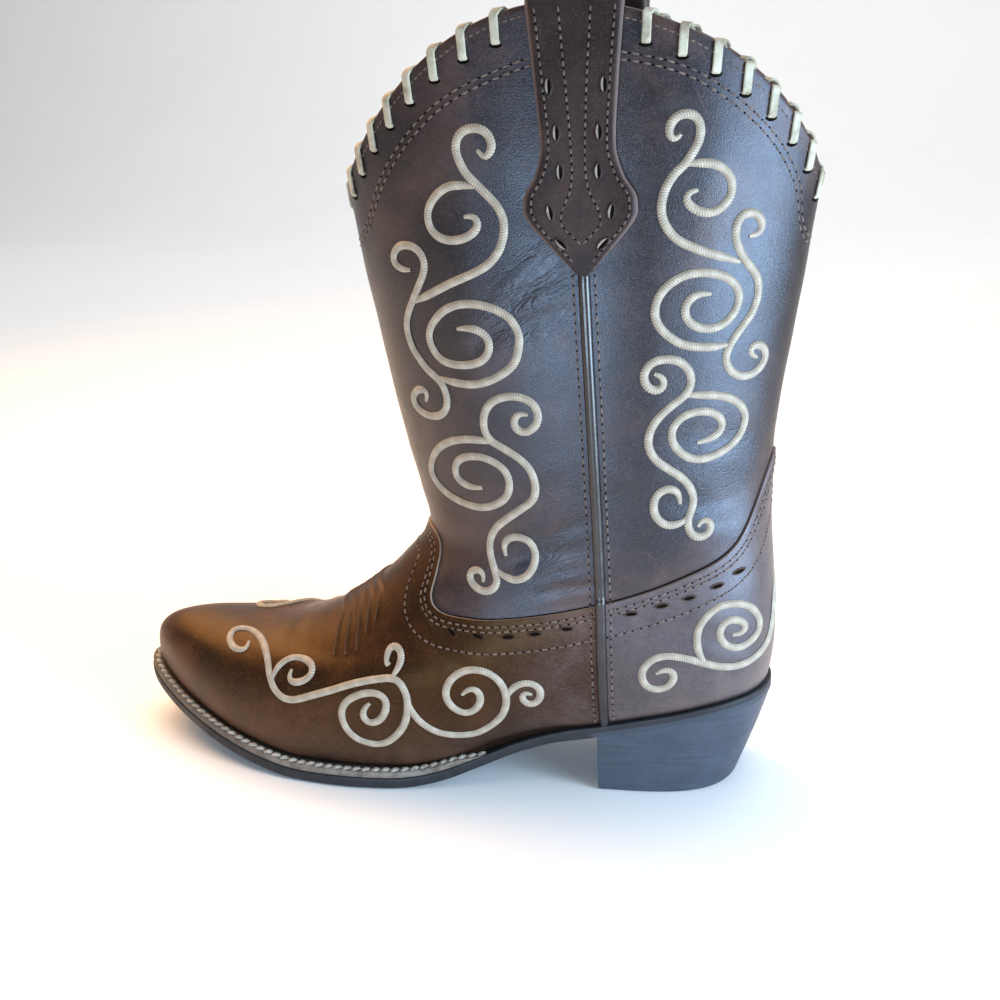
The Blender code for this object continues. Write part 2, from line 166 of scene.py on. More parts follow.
# Upper edge of the vamp and counter: turn in degrees, height at the surface
OVERLAY_EDGE = (
    (0.0, 105.0),
    (30.0, 101.0),
    (41.0, 92.0),
    (49.0, 82.0),
    (58.0, 77.0),
    (72.0, 76.0),
    (88.0, 79.0),
    (105.0, 85.0),
    (128.0, 96.0),
    (145.0, 106.0),
    (156.0, 119.0),
    (168.0, 133.0),
    (180.0, 139.0),
)

# Strap outline, from the tail's tip: mm up the strap, width
STRAP_WIDTHS = (
    (0.0, 3.0),
    (9.0, 20.0),
    (20.0, 38.0),
    (25.0, 38.5),
    (33.0, 30.0),
    (43.0, 25.0),
    (62.0, 27.5),
    (87.0, 32.0),
)

# Turns, in degrees, at which the ring's half width is the ball's and the waist's
BALL_TURN = 62.0
WAIST_TURN = 108.0

# The foot's swing fades up the rings, and the wall stands upright at the feather edge
SWING_FADE = 1.5
UPRIGHT = 0.8

PLAN_POINTS = 720
LEVELS = len(FOOT_RINGS) + len(SHAFT_RINGS) - 1
MM = 0.001

# Levels tried to look a height up, turns tried to space them evenly, corrections of a panel's grid
SEARCH_STEPS = 400
EVEN_STEPS = 2000
GRID_STEPS = 5

# Walking on the surface: corrections made, and how near to the first and last ring it may come
WALK_STEPS = 4
LEVEL_MARGIN = 0.02


def smooth_curve(points, at):
    """A smooth curve through the points, with no overshoot between them."""
    points = np.asarray(points, float)
    x, y = points[:, 0], points[:, 1]
    slope = np.diff(y) / np.diff(x)
    tangent = np.concatenate([slope[:1], (slope[1:] + slope[:-1]) / 2, slope[-1:]])
    tangent[1:-1][slope[1:] * slope[:-1] <= 0] = 0.0
    at = np.clip(np.asarray(at, float), x[0], x[-1])
    k = np.clip(np.searchsorted(x, at, side="right") - 1, 0, len(x) - 2)
    step = x[k + 1] - x[k]
    s = (at - x[k]) / step
    start = (2 * s**3 - 3 * s**2 + 1) * y[k] + (s**3 - 2 * s**2 + s) * step * tangent[k]
    end = (3 * s**2 - 2 * s**3) * y[k + 1] + (s**3 - s**2) * step * tangent[k + 1]
    return start + end


def ease(x, low, high):
    """A soft step from 0 at low to 1 at high."""
    s = np.clip((np.asarray(x, float) - low) / (high - low), 0.0, 1.0)
    return s * s * (3 - 2 * s)


def side_degrees(turn):
    """The turn in degrees from the toe, the same on both sides."""
    return np.degrees(np.arccos(np.clip(np.cos(turn), -1, 1)))


def sole_bottom(along):
    """Height of the sole's lower face."""
    return smooth_curve(SOLE_PROFILE, along)


def feather_height(along):
    """Height of the upper's lower edge: sole, and the welt where there is one."""
    welted = ease(along, *WELT_RAMP)
    return sole_bottom(along) + OUTSOLE + GAP + welted * (WELT + GAP)


def ring_table():
    """All rings in millimetres: front, front_z, back, back_z, toe, ball, waist, heel, sag."""
    half = BALL_WIDTH / 2
    rows = []
    for front, front_z, back, rise, toe, ball, waist, heel, sag in FOOT_RINGS:
        widths = (toe * half, ball * half, waist * half, heel * half)
        rows.append((front * LENGTH, front_z * INSTEP, back, HEEL_SEAT + rise, *widths, sag))
    for rise, front, back, tilt, fold, side in SHAFT_RINGS:
        height = INSTEP + rise * SHAFT
        widths = (fold * half, side * half, side * half, fold * half)
        rows.append((front, height, back, height + tilt, *widths, 0.0))
    return np.array(rows)


RINGS = ring_table()


def ring_at(level):
    """Ring values at a level between the table's rows, through all rows smoothly."""
    level = np.clip(np.asarray(level, float), 0.0, LEVELS)
    k = np.clip(np.floor(level).astype(int), 0, LEVELS - 1)
    s = (level - k)[..., None]
    before = RINGS[np.maximum(k - 1, 0)]
    here = RINGS[k]
    after = RINGS[k + 1]
    beyond = RINGS[np.minimum(k + 2, LEVELS)]
    bend = 2 * before - 5 * here + 4 * after - beyond
    twist = 3 * (here - after) + beyond - before
    return np.moveaxis(here + 0.5 * s * (after - before + s * (bend + s * twist)), -1, 0)


def axis_shift(along):
    """The last's middle line: it bows out at the waist and swings in at the toe."""
    waist = WAIST_BOW * np.sin(np.pi * np.clip(along / BOW_END, 0.0, 1.0))
    toe = TOE_SWING * (np.clip(along - SWING_START, 0.0, None) / (LENGTH - SWING_START)) ** 2
    return toe - waist


def last_point(turn, level):
    """A point of the upper's base surface, in millimetres."""
    turn, level = np.broadcast_arrays(np.asarray(turn, float), np.asarray(level, float))
    front, front_z, back, back_z, toe, ball, waist, heel, sag = ring_at(level)
    share = (1 - np.cos(turn)) / 2
    side = side_degrees(turn)
    half = toe + (ball - toe) * ease(side, 0, BALL_TURN)
    half = half + (waist - ball) * ease(side, BALL_TURN, WAIST_TURN)
    half = half + (heel - waist) * ease(side, WAIST_TURN, 180)
    along = front + (back - front) * share
    flat = RINGS[0]
    straight = flat[1] + (flat[3] - flat[1]) * (flat[0] - along) / (flat[0] - flat[2])
    height = front_z + (back_z - front_z) * share + sag * (feather_height(along) - straight)
    across = axis_shift(along) * np.clip(sag * SWING_FADE, 0.0, 1.0) - half * np.sin(turn)
    return np.stack([HEEL_CENTRE - along, across, height], axis=-1)


def outward(turn, level):
    """Unit normal of the base surface, turned level at the feather edge."""
    step = 1e-3
    low = np.maximum(np.asarray(level, float) - step, 0.0)
    high = np.minimum(np.asarray(level, float) + step, LEVELS)
    along_turn = last_point(turn + step, level) - last_point(turn - step, level)
    along_level = last_point(turn, high) - last_point(turn, low)
    normal = np.cross(along_turn, along_level)
    normal[..., 2] *= ease(level, 0.0, UPRIGHT)
    return normal / np.linalg.norm(normal, axis=-1, keepdims=True)


def skin(turn, level, offset):
    """A point at a distance outside (or, negative, inside) the base surface."""
    turn, level = np.broadcast_arrays(np.asarray(turn, float), np.asarray(level, float))
    return last_point(turn, level) + np.asarray(offset)[..., None] * outward(turn, level)


def level_of_height(turn, height):
    """The level at which the base surface reaches a height, for each turn."""
    levels = np.linspace(1.0, LEVELS, SEARCH_STEPS)
    turn, height = np.broadcast_arrays(np.asarray(turn, float), np.asarray(height, float))
    found = np.empty(turn.shape)
    for place in np.ndindex(turn.shape):
        found[place] = np.interp(height[place], last_point(turn[place], levels)[:, 2], levels)
    return found


def rim_height(turn):
    """The scalloped collar's height."""
    swing = np.sqrt(np.sin(turn) ** 2 + DIP_ROUND**2) / math.hypot(1.0, DIP_ROUND)
    front = FRONT_DIP + (HUMP - FRONT_DIP) * swing**FRONT_SWEEP
    back = BACK_DIP + (HUMP - BACK_DIP) * swing**BACK_SWEEP
    return np.where(np.cos(turn) > 0, front, back)


def rim_level(turn):
    """The level at which the collar ends."""
    return level_of_height(turn, rim_height(turn))


def overlay_level(turn):
    """Upper edge of the vamp and counter."""
    return level_of_height(turn, smooth_curve(OVERLAY_EDGE, side_degrees(turn)))


def seam_turn(level, side):
    """Turn of the side seam: side is 1 for the outer side and -1 for the inner."""
    front, front_z, back, back_z = ring_at(level)[:4]
    up = ease((front_z + back_z) / 2, HEEL_SEAT, HUMP)
    share = (front - (SEAM_LOW + (SEAM_HIGH - SEAM_LOW) * up)) / (front - back)
    return side * np.arccos(1 - 2 * share)


def plan_outline(offset):
    """The feather edge's outline from above, moved outward: along and across, one point per turn."""
    turn = np.arange(PLAN_POINTS) * 2 * np.pi / PLAN_POINTS
    edge = last_point(turn, 0.0)[:, :2]
    run = np.roll(edge, -1, axis=0) - np.roll(edge, 1, axis=0)
    normal = np.stack([-run[:, 1], run[:, 0]], axis=1)
    normal /= np.linalg.norm(normal, axis=1, keepdims=True)
    normal *= np.sign((normal * (edge - edge.mean(axis=0))).sum(axis=1, keepdims=True))
    side = side_degrees(turn)
    moved = edge + normal * np.broadcast_to(offset(side), side.shape)[:, None]
    return np.stack([HEEL_CENTRE - moved[:, 0], moved[:, 1]], axis=1)


def sole_reach(side):
    """How far the sole's edge stands out, from the welted forefoot to the close-trimmed waist and seat."""
    return OVERLAY + WELT_REACH + (SEAT_REACH - WELT_REACH) * ease(side, *TRIM_TURNS)


def strip_turn(centre, level, distance):
    """The turn that lies a distance round the surface from a centre line."""
    step = 1e-3
    chord = last_point(centre + step, level) - last_point(centre - step, level)
    return centre + distance * 2 * step / np.linalg.norm(chord, axis=-1)


# Camera of the picture: metres, degrees, and a square frame of 1000
EYE = (0.032524, -0.449502, 0.2779)
YAW = 13.0
PITCH = 19.66
ROLL = -2.31
LENS = 43.2
SENSOR = 36.0
FRAME = 1000.0
CLIP_START = 0.01

# Grids: columns and rows of each panel, and the levels at which their columns are spaced evenly
VAMP_GRID = (420, 190)
COUNTER_GRID = (190, 120)
SHAFT_GRID = (170, 190)
LINING_GRID = (220, 120)
FOOT_LEVEL = 2.0
SHAFT_LEVEL = 13.0
LINING_LEVEL = 11.0

# Thread rows: pitch, length, width and height of a stitch
SEAM_STITCH = (3.3, 2.6, 0.8, 0.6)
RIM_STITCH = (3.9, 2.6, 0.75, 0.55)
STRAP_STITCH = (2.7, 2.0, 0.75, 0.55)
FLEX_STITCH = (1.5, 1.2, 0.55, 0.45)
EDGE_STITCH = (2.5, 1.9, 0.55, 0.4)
WELT_STITCH = (4.1, 5.4, 2.6, 2.0)
WELT_SLANT = 26.0
NEEDLE_HOLE = (0.9, 0.7, 0.3)

# Thread stands this far off the leather
THREAD_LIFT = 0.05

# Distances of the rows below the vamp and counter edge, and from the middle of the side seam
EDGE_ROWS = (2.6, 4.6, 13.0)
SEAM_ROWS = (-3.8, 3.8)

# Where the rows start: degrees from the toe's middle, level at the side seam; and its run under the strap
ROW_START = 1.5
SEAM_ROW_START = 0.2
SEAM_ROW_UNDER = 3.0

# Points that carry a row: round the boot, up the side seam, up a strap
ROW_POINTS = 420
SEAM_POINTS = 300
STRAP_POINTS = 120

# Slits between the rows, charted in the picture's frame: across, down, rise in degrees
EDGE_SLITS = (
    (452, 632, -48),
    (478, 636, -22),
    (508, 637, 0),
    (535, 634, 4),
    (567, 629, 5),
    (631, 614, 6),
    (662, 606, 10),
    (689, 598, 12),
    (717, 586, 18),
    (739, 571, 26),
)

# Length, width and depth of a slit
EDGE_SLIT = (4.6, 1.35, 0.4)
STRAP_SLIT = (5.0, 1.8, 0.45)

# Half the stretch that gives a slit its direction, in the picture's frame and on the strap; its lift
EDGE_SLIT_HALF = 5.0
STRAP_SLIT_HALF = 2.0
SLIT_LIFT = 0.12

# Depth of the double row below the rim: turn in degrees, depth
DOUBLE_ROW = (
    (0.0, 21.0),
    (17.0, 18.7),
    (30.0, 15.4),
    (53.0, 13.8),
    (75.0, 16.2),
    (90.0, 15.2),
    (107.0, 12.8),
    (127.0, 10.2),
    (160.0, 10.3),
    (171.0, 12.2),
    (180.0, 19.0),
)

# The second row's distance below the first, and the single row's below the rim
DOUBLE_GAP = 2.3
RIM_ROW = 2.9

# Thong lacing: spacing along the rim, length of the outer leg, width, thickness, lean from the plumb line
LACE_PITCH = 12.6
LACE_LEG = 9.2
LACE_WIDTH = 3.1
LACE_THICK = 1.0
LACE_LEAN = 0.15

# The thong's slack, how far its ends sink in outside and inside, and the share of a leg where that starts
LACE_SLACK = 0.15
LACE_SINK_OUT = 1.4
LACE_SINK_IN = 1.2
LACE_SINK_FROM = 0.86

# The inner leg's share of the outer one, the share of the pitch crossed over the rim, and the bend's flatness
LACE_INNER = 0.9
LACE_CROSS = 0.22
LACE_FLAT = 0.9

# Clear space between the lacing and a strap's edge; length, width and depth of the thong's holes
LACE_CLEAR = 1.0
LACE_HOLE = (4.6, 2.0, 0.4)

# Points along the rim, a leg and the bend; the bend's angles, its share of a step at its start; a small step
RIM_POINTS = 3000
LEG_POINTS = 8
BEND_POINTS = 7
BEND_ANGLES = (20, 160)
BEND_START = 0.1
LACE_STEP = 0.01

# Levels near the rim at which a strap's middle and the distance from it are taken
LACE_SEAM_LEVEL = LEVELS - 0.3
LACE_RIM_LEVEL = 16.0

# Inner strap row: mm up from the tip, distance from the strap's middle
STRAP_INNER_ROW = (
    (10.5, 0.0),
    (13.0, 2.6),
    (18.0, 6.7),
    (22.0, 6.0),
    (28.0, 3.2),
    (36.0, 2.2),
    (50.0, 2.7),
    (86.0, 5.2),
)

# The outer row: distance from the strap's edge, start above the tip; and where both rows stop below the hump
STRAP_EDGE_ROW = 2.9
STRAP_ROW_START = 4.5
STRAP_ROW_END = 1.0

# Strap slits: mm up from the tip, distance from its middle, slope in degrees
STRAP_SLITS = (
    (61.6, 9.0, 90.0),
    (47.0, 7.0, 90.0),
    (34.5, 6.3, 90.0),
    (21.3, 10.2, 80.0),
    (10.8, 7.0, 45.0),
)

# Embroidery cord: width, height, thread pitch, slant of the threads, step along it, tapering ends, sunk foot
CORD_WIDTH = 3.1
CORD_HEIGHT = 1.3
CORD_PITCH = 0.95
CORD_SLANT = 0.5
CORD_STEP = 0.24
CORD_TAPER = 9.0
CORD_SINK = 0.1
CORD_COLUMNS = 7

# How blunt a cord's ends are, how full its threads, and how round its section
CORD_BLUNT = 0.8
CORD_FULL = 0.8
CORD_ROUND = 0.97

# Width and height of a cord in the grooves between its threads, and what a thread adds
CORD_GROOVE = (0.92, 0.86)
CORD_THREAD = (0.1, 0.16)

# Numbers that scatter the threads' tones
TONE_SCATTER = (12.9898, 78.233)

# Scrolls, charted in the picture's frame: each stroke's points, across and down
SCROLLS_SHAFT = (
    # front panel
    ((477, 150), (485, 159), (493, 147), (487, 132), (474, 127), (460, 132), (455, 145), (458, 159),
     (466, 174), (474, 182), (485, 193), (497, 205), (504, 220), (504, 235), (499, 252), (487, 266),
     (470, 275), (451, 283), (432, 293), (414, 302)),
    ((478, 187), (462, 185), (447, 186), (434, 197), (427, 212), (430, 228), (439, 238), (453, 241),
     (466, 238), (477, 230), (478, 220), (472, 215), (464, 217)),
    ((411, 270), (402, 270), (394, 262), (394, 253), (399, 245), (409, 245), (418, 249), (424, 259),
     (425, 270), (420, 283), (415, 296), (410, 308), (407, 321), (408, 332), (413, 348), (421, 360),
     (428, 370), (440, 380), (446, 391), (448, 403), (445, 413), (436, 417), (425, 414), (416, 405),
     (413, 396), (418, 388), (425, 389), (429, 395), (426, 401)),
    ((438, 377), (445, 380), (458, 383), (473, 385), (490, 381), (506, 372), (516, 362), (520, 340),
     (517, 329), (508, 316), (492, 308), (476, 304), (460, 304), (447, 308), (436, 318), (429, 331),
     (431, 345), (441, 360), (455, 365), (470, 365), (483, 361), (490, 350), (488, 338), (480, 331),
     (469, 328), (457, 329)),
    ((528, 415), (518, 413), (513, 421), (516, 430), (526, 433), (536, 426), (539, 415), (533, 403),
     (521, 397), (508, 396), (494, 400), (486, 408), (483, 421), (486, 435), (491, 441), (503, 448),
     (516, 456), (528, 466), (534, 478), (536, 491), (533, 501), (521, 509), (508, 518), (496, 527),
     (490, 539), (490, 552), (493, 564), (496, 574), (498, 582), (493, 590), (485, 592), (475, 587),
     (469, 577), (471, 570), (480, 569), (485, 576), (483, 582)),
    ((495, 443), (480, 440), (466, 439), (450, 441), (438, 448), (432, 460), (432, 473), (440, 486),
     (451, 496), (466, 504), (483, 508), (498, 504), (508, 496), (510, 483), (506, 471), (496, 463),
     (483, 457), (470, 456), (458, 459), (455, 469), (458, 479), (470, 487), (483, 488)),
    ((494, 567), (498, 572), (506, 577), (516, 581), (528, 576), (534, 566), (536, 554), (531, 542),
     (521, 537), (509, 537), (503, 544), (506, 556)),
    # back panel
    ((681, 134), (676, 141), (669, 136), (669, 127), (676, 116), (687, 113), (697, 116), (701, 127),
     (700, 139), (693, 152), (687, 162), (674, 174), (665, 189), (661, 205), (662, 218), (668, 230),
     (677, 240), (692, 247), (708, 253), (724, 257), (740, 262)),
    ((683, 165), (690, 163), (700, 163), (712, 163), (724, 168), (732, 179), (732, 194), (724, 206),
     (712, 213), (700, 212), (690, 206), (685, 198), (689, 192), (698, 190)),
    ((749, 236), (757, 235), (763, 227), (760, 216), (751, 211), (741, 216), (736, 227), (736, 240),
     (741, 253), (748, 264), (756, 273), (759, 286), (757, 300), (751, 315), (741, 328), (735, 337),
     (729, 347), (725, 358), (729, 370), (741, 377), (755, 373), (764, 361), (766, 351), (761, 344),
     (754, 344), (749, 351), (752, 357), (757, 357)),
    ((730, 344), (722, 346), (711, 347), (696, 347), (680, 344), (668, 336), (658, 326), (654, 313),
     (658, 297), (668, 285), (684, 275), (703, 272), (722, 275), (735, 283), (740, 296), (736, 310),
     (728, 321), (716, 328), (703, 329), (690, 324), (684, 313), (687, 302), (697, 294), (711, 294)),
    ((654, 374), (662, 376), (665, 383), (661, 390), (652, 391), (644, 383), (644, 372), (652, 362),
     (666, 359), (680, 361), (689, 370), (692, 381), (687, 394), (671, 406), (657, 419), (649, 433),
     (648, 447), (655, 460), (668, 469), (680, 476), (689, 485), (694, 497), (692, 510), (687, 520),
     (688, 526), (691, 535), (700, 538), (709, 533), (712, 524), (707, 519), (700, 520), (698, 527)),
    ((684, 396), (691, 395), (700, 395), (718, 395), (734, 399), (745, 410), (745, 422), (739, 436),
     (729, 447), (714, 456), (698, 460), (684, 456), (673, 445), (671, 431), (679, 419), (693, 412),
     (709, 411), (721, 417), (723, 427), (714, 437), (697, 443)),
    ((689, 515), (686, 520), (679, 524), (666, 526), (655, 517), (653, 504), (657, 494), (668, 488),
     (679, 492), (680, 504)),
)
SCROLLS_FOOT = (
    # vamp
    ((249, 641), (249, 647), (242, 651), (232, 647), (229, 637), (234, 629), (248, 628), (259, 634),
     (265, 645), (268, 660), (270, 676), (274, 689), (284, 699), (295, 700), (313, 695), (332, 690),
     (351, 684), (370, 680), (387, 678), (395, 678), (402, 685), (408, 699), (407, 718), (401, 731),
     (387, 743), (374, 744), (357, 739), (345, 727), (341, 712), (345, 702), (357, 695), (372, 692),
     (385, 697), (387, 708), (381, 720), (370, 724), (362, 716), (364, 708), (370, 703)),
    ((408, 700), (410, 707), (414, 715), (424, 725), (440, 733), (458, 735), (477, 733), (492, 725),
     (503, 715), (507, 702), (505, 690), (498, 679), (487, 672), (473, 669), (460, 672), (449, 681),
     (445, 693), (449, 704), (460, 712), (470, 713), (480, 705), (481, 696), (477, 689), (467, 689),
     (462, 695)),
    ((506, 700), (508, 694), (513, 687), (526, 682), (538, 686), (542, 693), (538, 702), (529, 705),
     (521, 699), (522, 693), (530, 692), (532, 695)),
    ((391, 679), (395, 673), (401, 662), (402, 653), (397, 645), (390, 646), (387, 656), (386, 668),
     (390, 662)),
    ((271, 682), (274, 674), (280, 664), (292, 657), (305, 658), (314, 666), (311, 676), (301, 682),
     (292, 683), (288, 678), (292, 669)),
    # counter
    ((706, 665), (702, 659), (697, 648), (697, 638), (699, 626), (708, 615), (719, 606), (736, 603),
     (751, 606), (759, 616), (760, 626), (754, 638), (742, 647), (731, 648), (721, 641), (719, 631),
     (726, 621), (736, 619), (746, 623), (745, 630), (739, 635), (732, 635)),
)

# The counter's long scroll, charted in the same way
COUNTER_SCROLL = (
    (656, 674), (663, 668), (673, 669), (677, 676), (673, 684), (663, 690), (650, 690), (641, 683),
    (641, 669), (651, 659), (664, 655), (679, 657), (693, 660), (706, 664), (719, 667), (734, 667),
    (747, 663), (758, 654),
)

# The same scroll where it runs on round the back: turn in degrees, level
COUNTER_BACK = ((168.5, 2.45), (171.0, 3.2), (173.0, 3.9), (174.5, 4.8), (176.5, 5.6))
BACK_POINTS = 60

# Points over which the strokes are smoothed once they lie on the leather
SCROLL_SMOOTH = 2
BACK_SMOOTH = 5


def camera_axes():
    """Right, up and ahead of the picture's camera."""
    yaw, pitch, roll = (math.radians(v) for v in (YAW, PITCH, ROLL))
    ahead = Vector((-math.sin(yaw) * math.cos(pitch), math.cos(yaw) * math.cos(pitch), -math.sin(pitch)))
    right = ahead.cross(Vector((0, 0, 1))).normalized()
    up = right.cross(ahead)
    return (
        right * math.cos(roll) + up * math.sin(roll),
        up * math.cos(roll) - right * math.sin(roll),
        ahead,
    )


def unit(vectors):
    """Vectors made one long."""
    return vectors / np.maximum(np.linalg.norm(vectors, axis=-1, keepdims=True), 1e-9)


def run_length(points):
    """Distance along a line of points."""
    return np.concatenate([[0.0], np.cumsum(np.linalg.norm(np.diff(points, axis=0), axis=1))])


# Levels of the vamp's and counter's edge and of the rim, worked out once for each half degree
TURN_TABLE = np.radians(np.linspace(0, 180, 361))
EDGE_TABLE = overlay_level(TURN_TABLE)
RIM_TABLE = rim_level(TURN_TABLE)


def edge_at(turn):
    """Level of the vamp's and counter's cut edge."""
    return np.interp(side_degrees(turn), np.degrees(TURN_TABLE), EDGE_TABLE)


def rim_at(turn):
    """Level of the rim."""
    return np.interp(side_degrees(turn), np.degrees(TURN_TABLE), RIM_TABLE)


def rise_at(turn, level):
    """Millimetres of surface to one level."""
    step = 0.02
    return np.linalg.norm(last_point(turn, level) - last_point(turn, level - step), axis=-1) / step


def in_plane(first, second, vector):
    """Shares of two directions that come nearest to a vector."""
    a, b, c = ((p * q).sum(-1) for p, q in ((first, first), (first, second), (second, second)))
    d, e = (first * vector).sum(-1), (second * vector).sum(-1)
    span = a * c - b * b
    return (d * c - e * b) / span, (e * a - d * b) / span


def walk(turn, level, vector):
    """Turn and level a small way off, along a vector in millimetres laid on the surface."""
    goal = last_point(turn, level) + vector
    step = 1e-3
    for _ in range(WALK_STEPS):
        here = last_point(turn, level)
        by_turn = (last_point(turn + step, level) - here) / step
        by_level = (last_point(turn, level + step) - here) / step
        shares = in_plane(by_turn, by_level, goal - here)
        turn = turn + shares[0]
        level = np.clip(level + shares[1], LEVEL_MARGIN, LEVELS - LEVEL_MARGIN)
    return turn, level


def inset_row(turn, line, distance):
    """A row a distance below the edge or the rim, whose level at a turn the line gives."""
    step = 1e-3
    level = line(turn)
    along = unit(last_point(turn + step, line(turn + step)) - last_point(turn - step, line(turn - step)))
    down = np.cross(along, outward(turn, level))
    return walk(turn, level, down * np.asarray(distance, float).reshape(-1, 1))


# Creases: side (1 outer, -1 inner, 0 both), along, height, slope in degrees, length, width, depth
CREASES = (
    (1, 88.0, 205.0, -34.0, 26.0, 3.0, 0.3),
    (1, 82.0, 214.0, -40.0, 20.0, 2.4, 0.25),
    (1, 96.0, 192.0, -24.0, 24.0, 3.2, 0.3),
    (1, 84.0, 112.0, -35.0, 16.0, 2.6, 0.35),
    (1, 90.0, 104.0, -20.0, 18.0, 2.6, 0.3),
    (1, 78.0, 92.0, -12.0, 12.0, 2.0, 0.4),
    (1, 96.0, 128.0, -28.0, 26.0, 4.0, 0.25),
    (1, 40.0, 128.0, 14.0, 26.0, 4.0, 0.3),
    (1, 24.0, 150.0, 10.0, 24.0, 5.0, 0.25),
    (-1, 86.0, 112.0, -30.0, 20.0, 2.8, 0.35),
    (-1, 94.0, 102.0, -18.0, 18.0, 2.6, 0.3),
    (-1, 92.0, 200.0, -28.0, 24.0, 3.2, 0.3),
    (-1, 38.0, 130.0, 16.0, 26.0, 4.0, 0.3),
    (0, 186.0, 44.0, 62.0, 20.0, 2.4, 0.3),
    (0, 177.0, 40.0, 64.0, 22.0, 2.6, 0.35),
    (0, 168.0, 36.0, 66.0, 20.0, 2.6, 0.3),
    (0, 196.0, 40.0, 60.0, 16.0, 2.2, 0.25),
    (0, 128.0, 66.0, 35.0, 18.0, 2.6, 0.35),
    (0, 138.0, 74.0, 40.0, 16.0, 2.4, 0.3),
    (0, 30.0, 72.0, 12.0, 22.0, 4.0, 0.4),
)

# Ridges beside a crease: height as a share of its depth, place in its widths; and how a crease bows
CREASE_SHOULDER = 0.45
CREASE_SHOULDER_AT = 2.0
CREASE_BOW = 0.006

# Fine wrinkles round the creases: reach in crease widths, and strength
WRINKLE_REACH = 4.0
WRINKLE_GAIN = 1.4

# Slow unevenness of worn leather: wave length along and up, phase, height
SWELLS = ((47.0, 61.0, 0.4, 0.22), (29.0, 38.0, 2.1, 0.14), (17.0, 23.0, 4.0, 0.07))

# Levels over which creases and swells fade in above the sole, and out below the rim
RELIEF_FROM_SOLE = 1.2
RELIEF_TO_RIM = 0.8

# Flex ridges over the vamp, charted in the picture's frame from the top down
FLEX_RIDGES = (
    ((349, 601), (341, 620), (335, 656)),
    ((356, 593), (351, 612), (346, 656)),
    ((364, 588), (361, 610), (357, 652)),
    ((373, 584), (371, 604), (367, 634)),
    ((383, 581), (381, 598), (376, 622)),
)

# Their size, step along them, sunk foot, tapering ends, bed of their thread, smoothing and wear
FLEX_WIDTH = 3.1
FLEX_HEIGHT = 1.15
FLEX_STEP = 0.6
FLEX_SINK = 0.08
FLEX_TAPER = 14.0
FLEX_BED = 0.1
FLEX_SMOOTH = 3
FLEX_WEAR = 0.5

# Wear, its reach: down from the cut edge, from the sole and the rim, up from the vamp; where the toe's starts
CUT_REACH = 3.0
EDGE_REACH = 9.0
ANKLE_REACH = 26.0
TOE_WEAR_FROM = 240.0

# Wear, its strength: below and on the cut edge, above and at the sole, on the toe, all over the counter
CUT_WEAR = 0.6
CUT_FACE_WEAR = 1.2
SOLE_WEAR = 0.8
SKIRT_WEAR = 0.5
TOE_WEAR = 0.7
COUNTER_WEAR = 0.25

# The lowest level at which the distance from the cut edge is measured
WEAR_LEVEL = 0.05

# Wear of the shaft: at the rim, and at the ankle above the vamp
RIM_WEAR = 0.7
ANKLE_WEAR = 0.9

# Painted shade in the corner above the sole and above the vamp's edge: how far it reaches
CORNER_SHADE_REACH = 1.8

# Painted shade along the cut edge, a dark strip as if under a lifted edge: heights above it, lift, turns
# where it starts and is whole, its points
EDGE_SHADE_STRIP = (0.15, 1.2)
SHADE_STRIP_LIFT = 0.08
SHADE_STRIP_FROM = 50.0
SHADE_STRIP_WHOLE = 72.0
SHADE_STRIP_POINTS = 400

# Lower edge of vamp and counter: distances out from the last, and the outer row's height off the sole
SKIRT = (-1.2, 0.3, OVERLAY)
SKIRT_LIFT = 0.5

# Rounded cut edge: its rise, and points as shares of that rise and of the overlay's thickness
CUT_ROUND = 0.5
CUT_SECTION = ((0.45, 0.82), (0.75, 0.45), (0.85, 0.0), (0.85, -0.5))

# Shaft: its reach down under the vamp's edge, and the angles and flatness of its rolled rim
SHAFT_TUCK = 2.5
RIM_ROLL = np.radians((30, 60, 90, 120, 150, 180))
RIM_FLAT = 0.5


def creasing(turn, level):
    """Each crease at points of the leather: its depth there, and the distance off it in its own widths."""
    place = last_point(turn, level)
    along, height = HEEL_CENTRE - place[..., 0], place[..., 2]
    hand = np.where(np.sin(turn) >= 0, 1, -1)
    for side, at, up, slope, length, width, depth in CREASES:
        tilt = math.radians(slope)
        run = (along - at) * math.cos(tilt) + (height - up) * math.sin(tilt)
        off = (height - up) * math.cos(tilt) - (along - at) * math.sin(tilt) + CREASE_BOW * run**2
        yield np.exp(-((run / length) ** 2)) * depth * ((side == 0) | (hand == side)), off / width


def folding(turn, level):
    """How much fine wrinkling lies round the creases, 0 to 1."""
    near = sum(fade * np.exp(-((off / WRINKLE_REACH) ** 2)) for fade, off in creasing(turn, level))
    return np.clip(near * WRINKLE_GAIN, 0.0, 1.0)


def relief(turn, level):
    """Creases and slow unevenness of the leather, in millimetres out from the last."""
    place = last_point(turn, level)
    along, height = HEEL_CENTRE - place[..., 0], place[..., 2]
    hand = np.where(np.sin(turn) >= 0, 1, -1)
    out = np.zeros(along.shape)
    for fade, off in creasing(turn, level):
        shoulder = np.exp(-((off - CREASE_SHOULDER_AT) ** 2)) + np.exp(-((off + CREASE_SHOULDER_AT) ** 2))
        out += fade * (CREASE_SHOULDER * shoulder - np.exp(-(off**2)))
    for by_along, by_height, phase, size in SWELLS:
        bend = np.sin(2 * np.pi * height / by_height - phase)
        bend = bend + np.sin(2 * np.pi * along / by_along + phase * hand)
        out += size * bend / 2
    return out * ease(level, 0.0, RELIEF_FROM_SOLE) * ease(rim_at(turn) - level, 0.0, RELIEF_TO_RIM)


def leather(turn, level, lift):
    """A point on the dressed leather, lift above it."""
    turn, level = np.broadcast_arrays(np.asarray(turn, float), np.asarray(level, float))
    over = OVERLAY * (level <= edge_at(turn))
    return skin(turn, level, over + relief(turn, level) + lift)


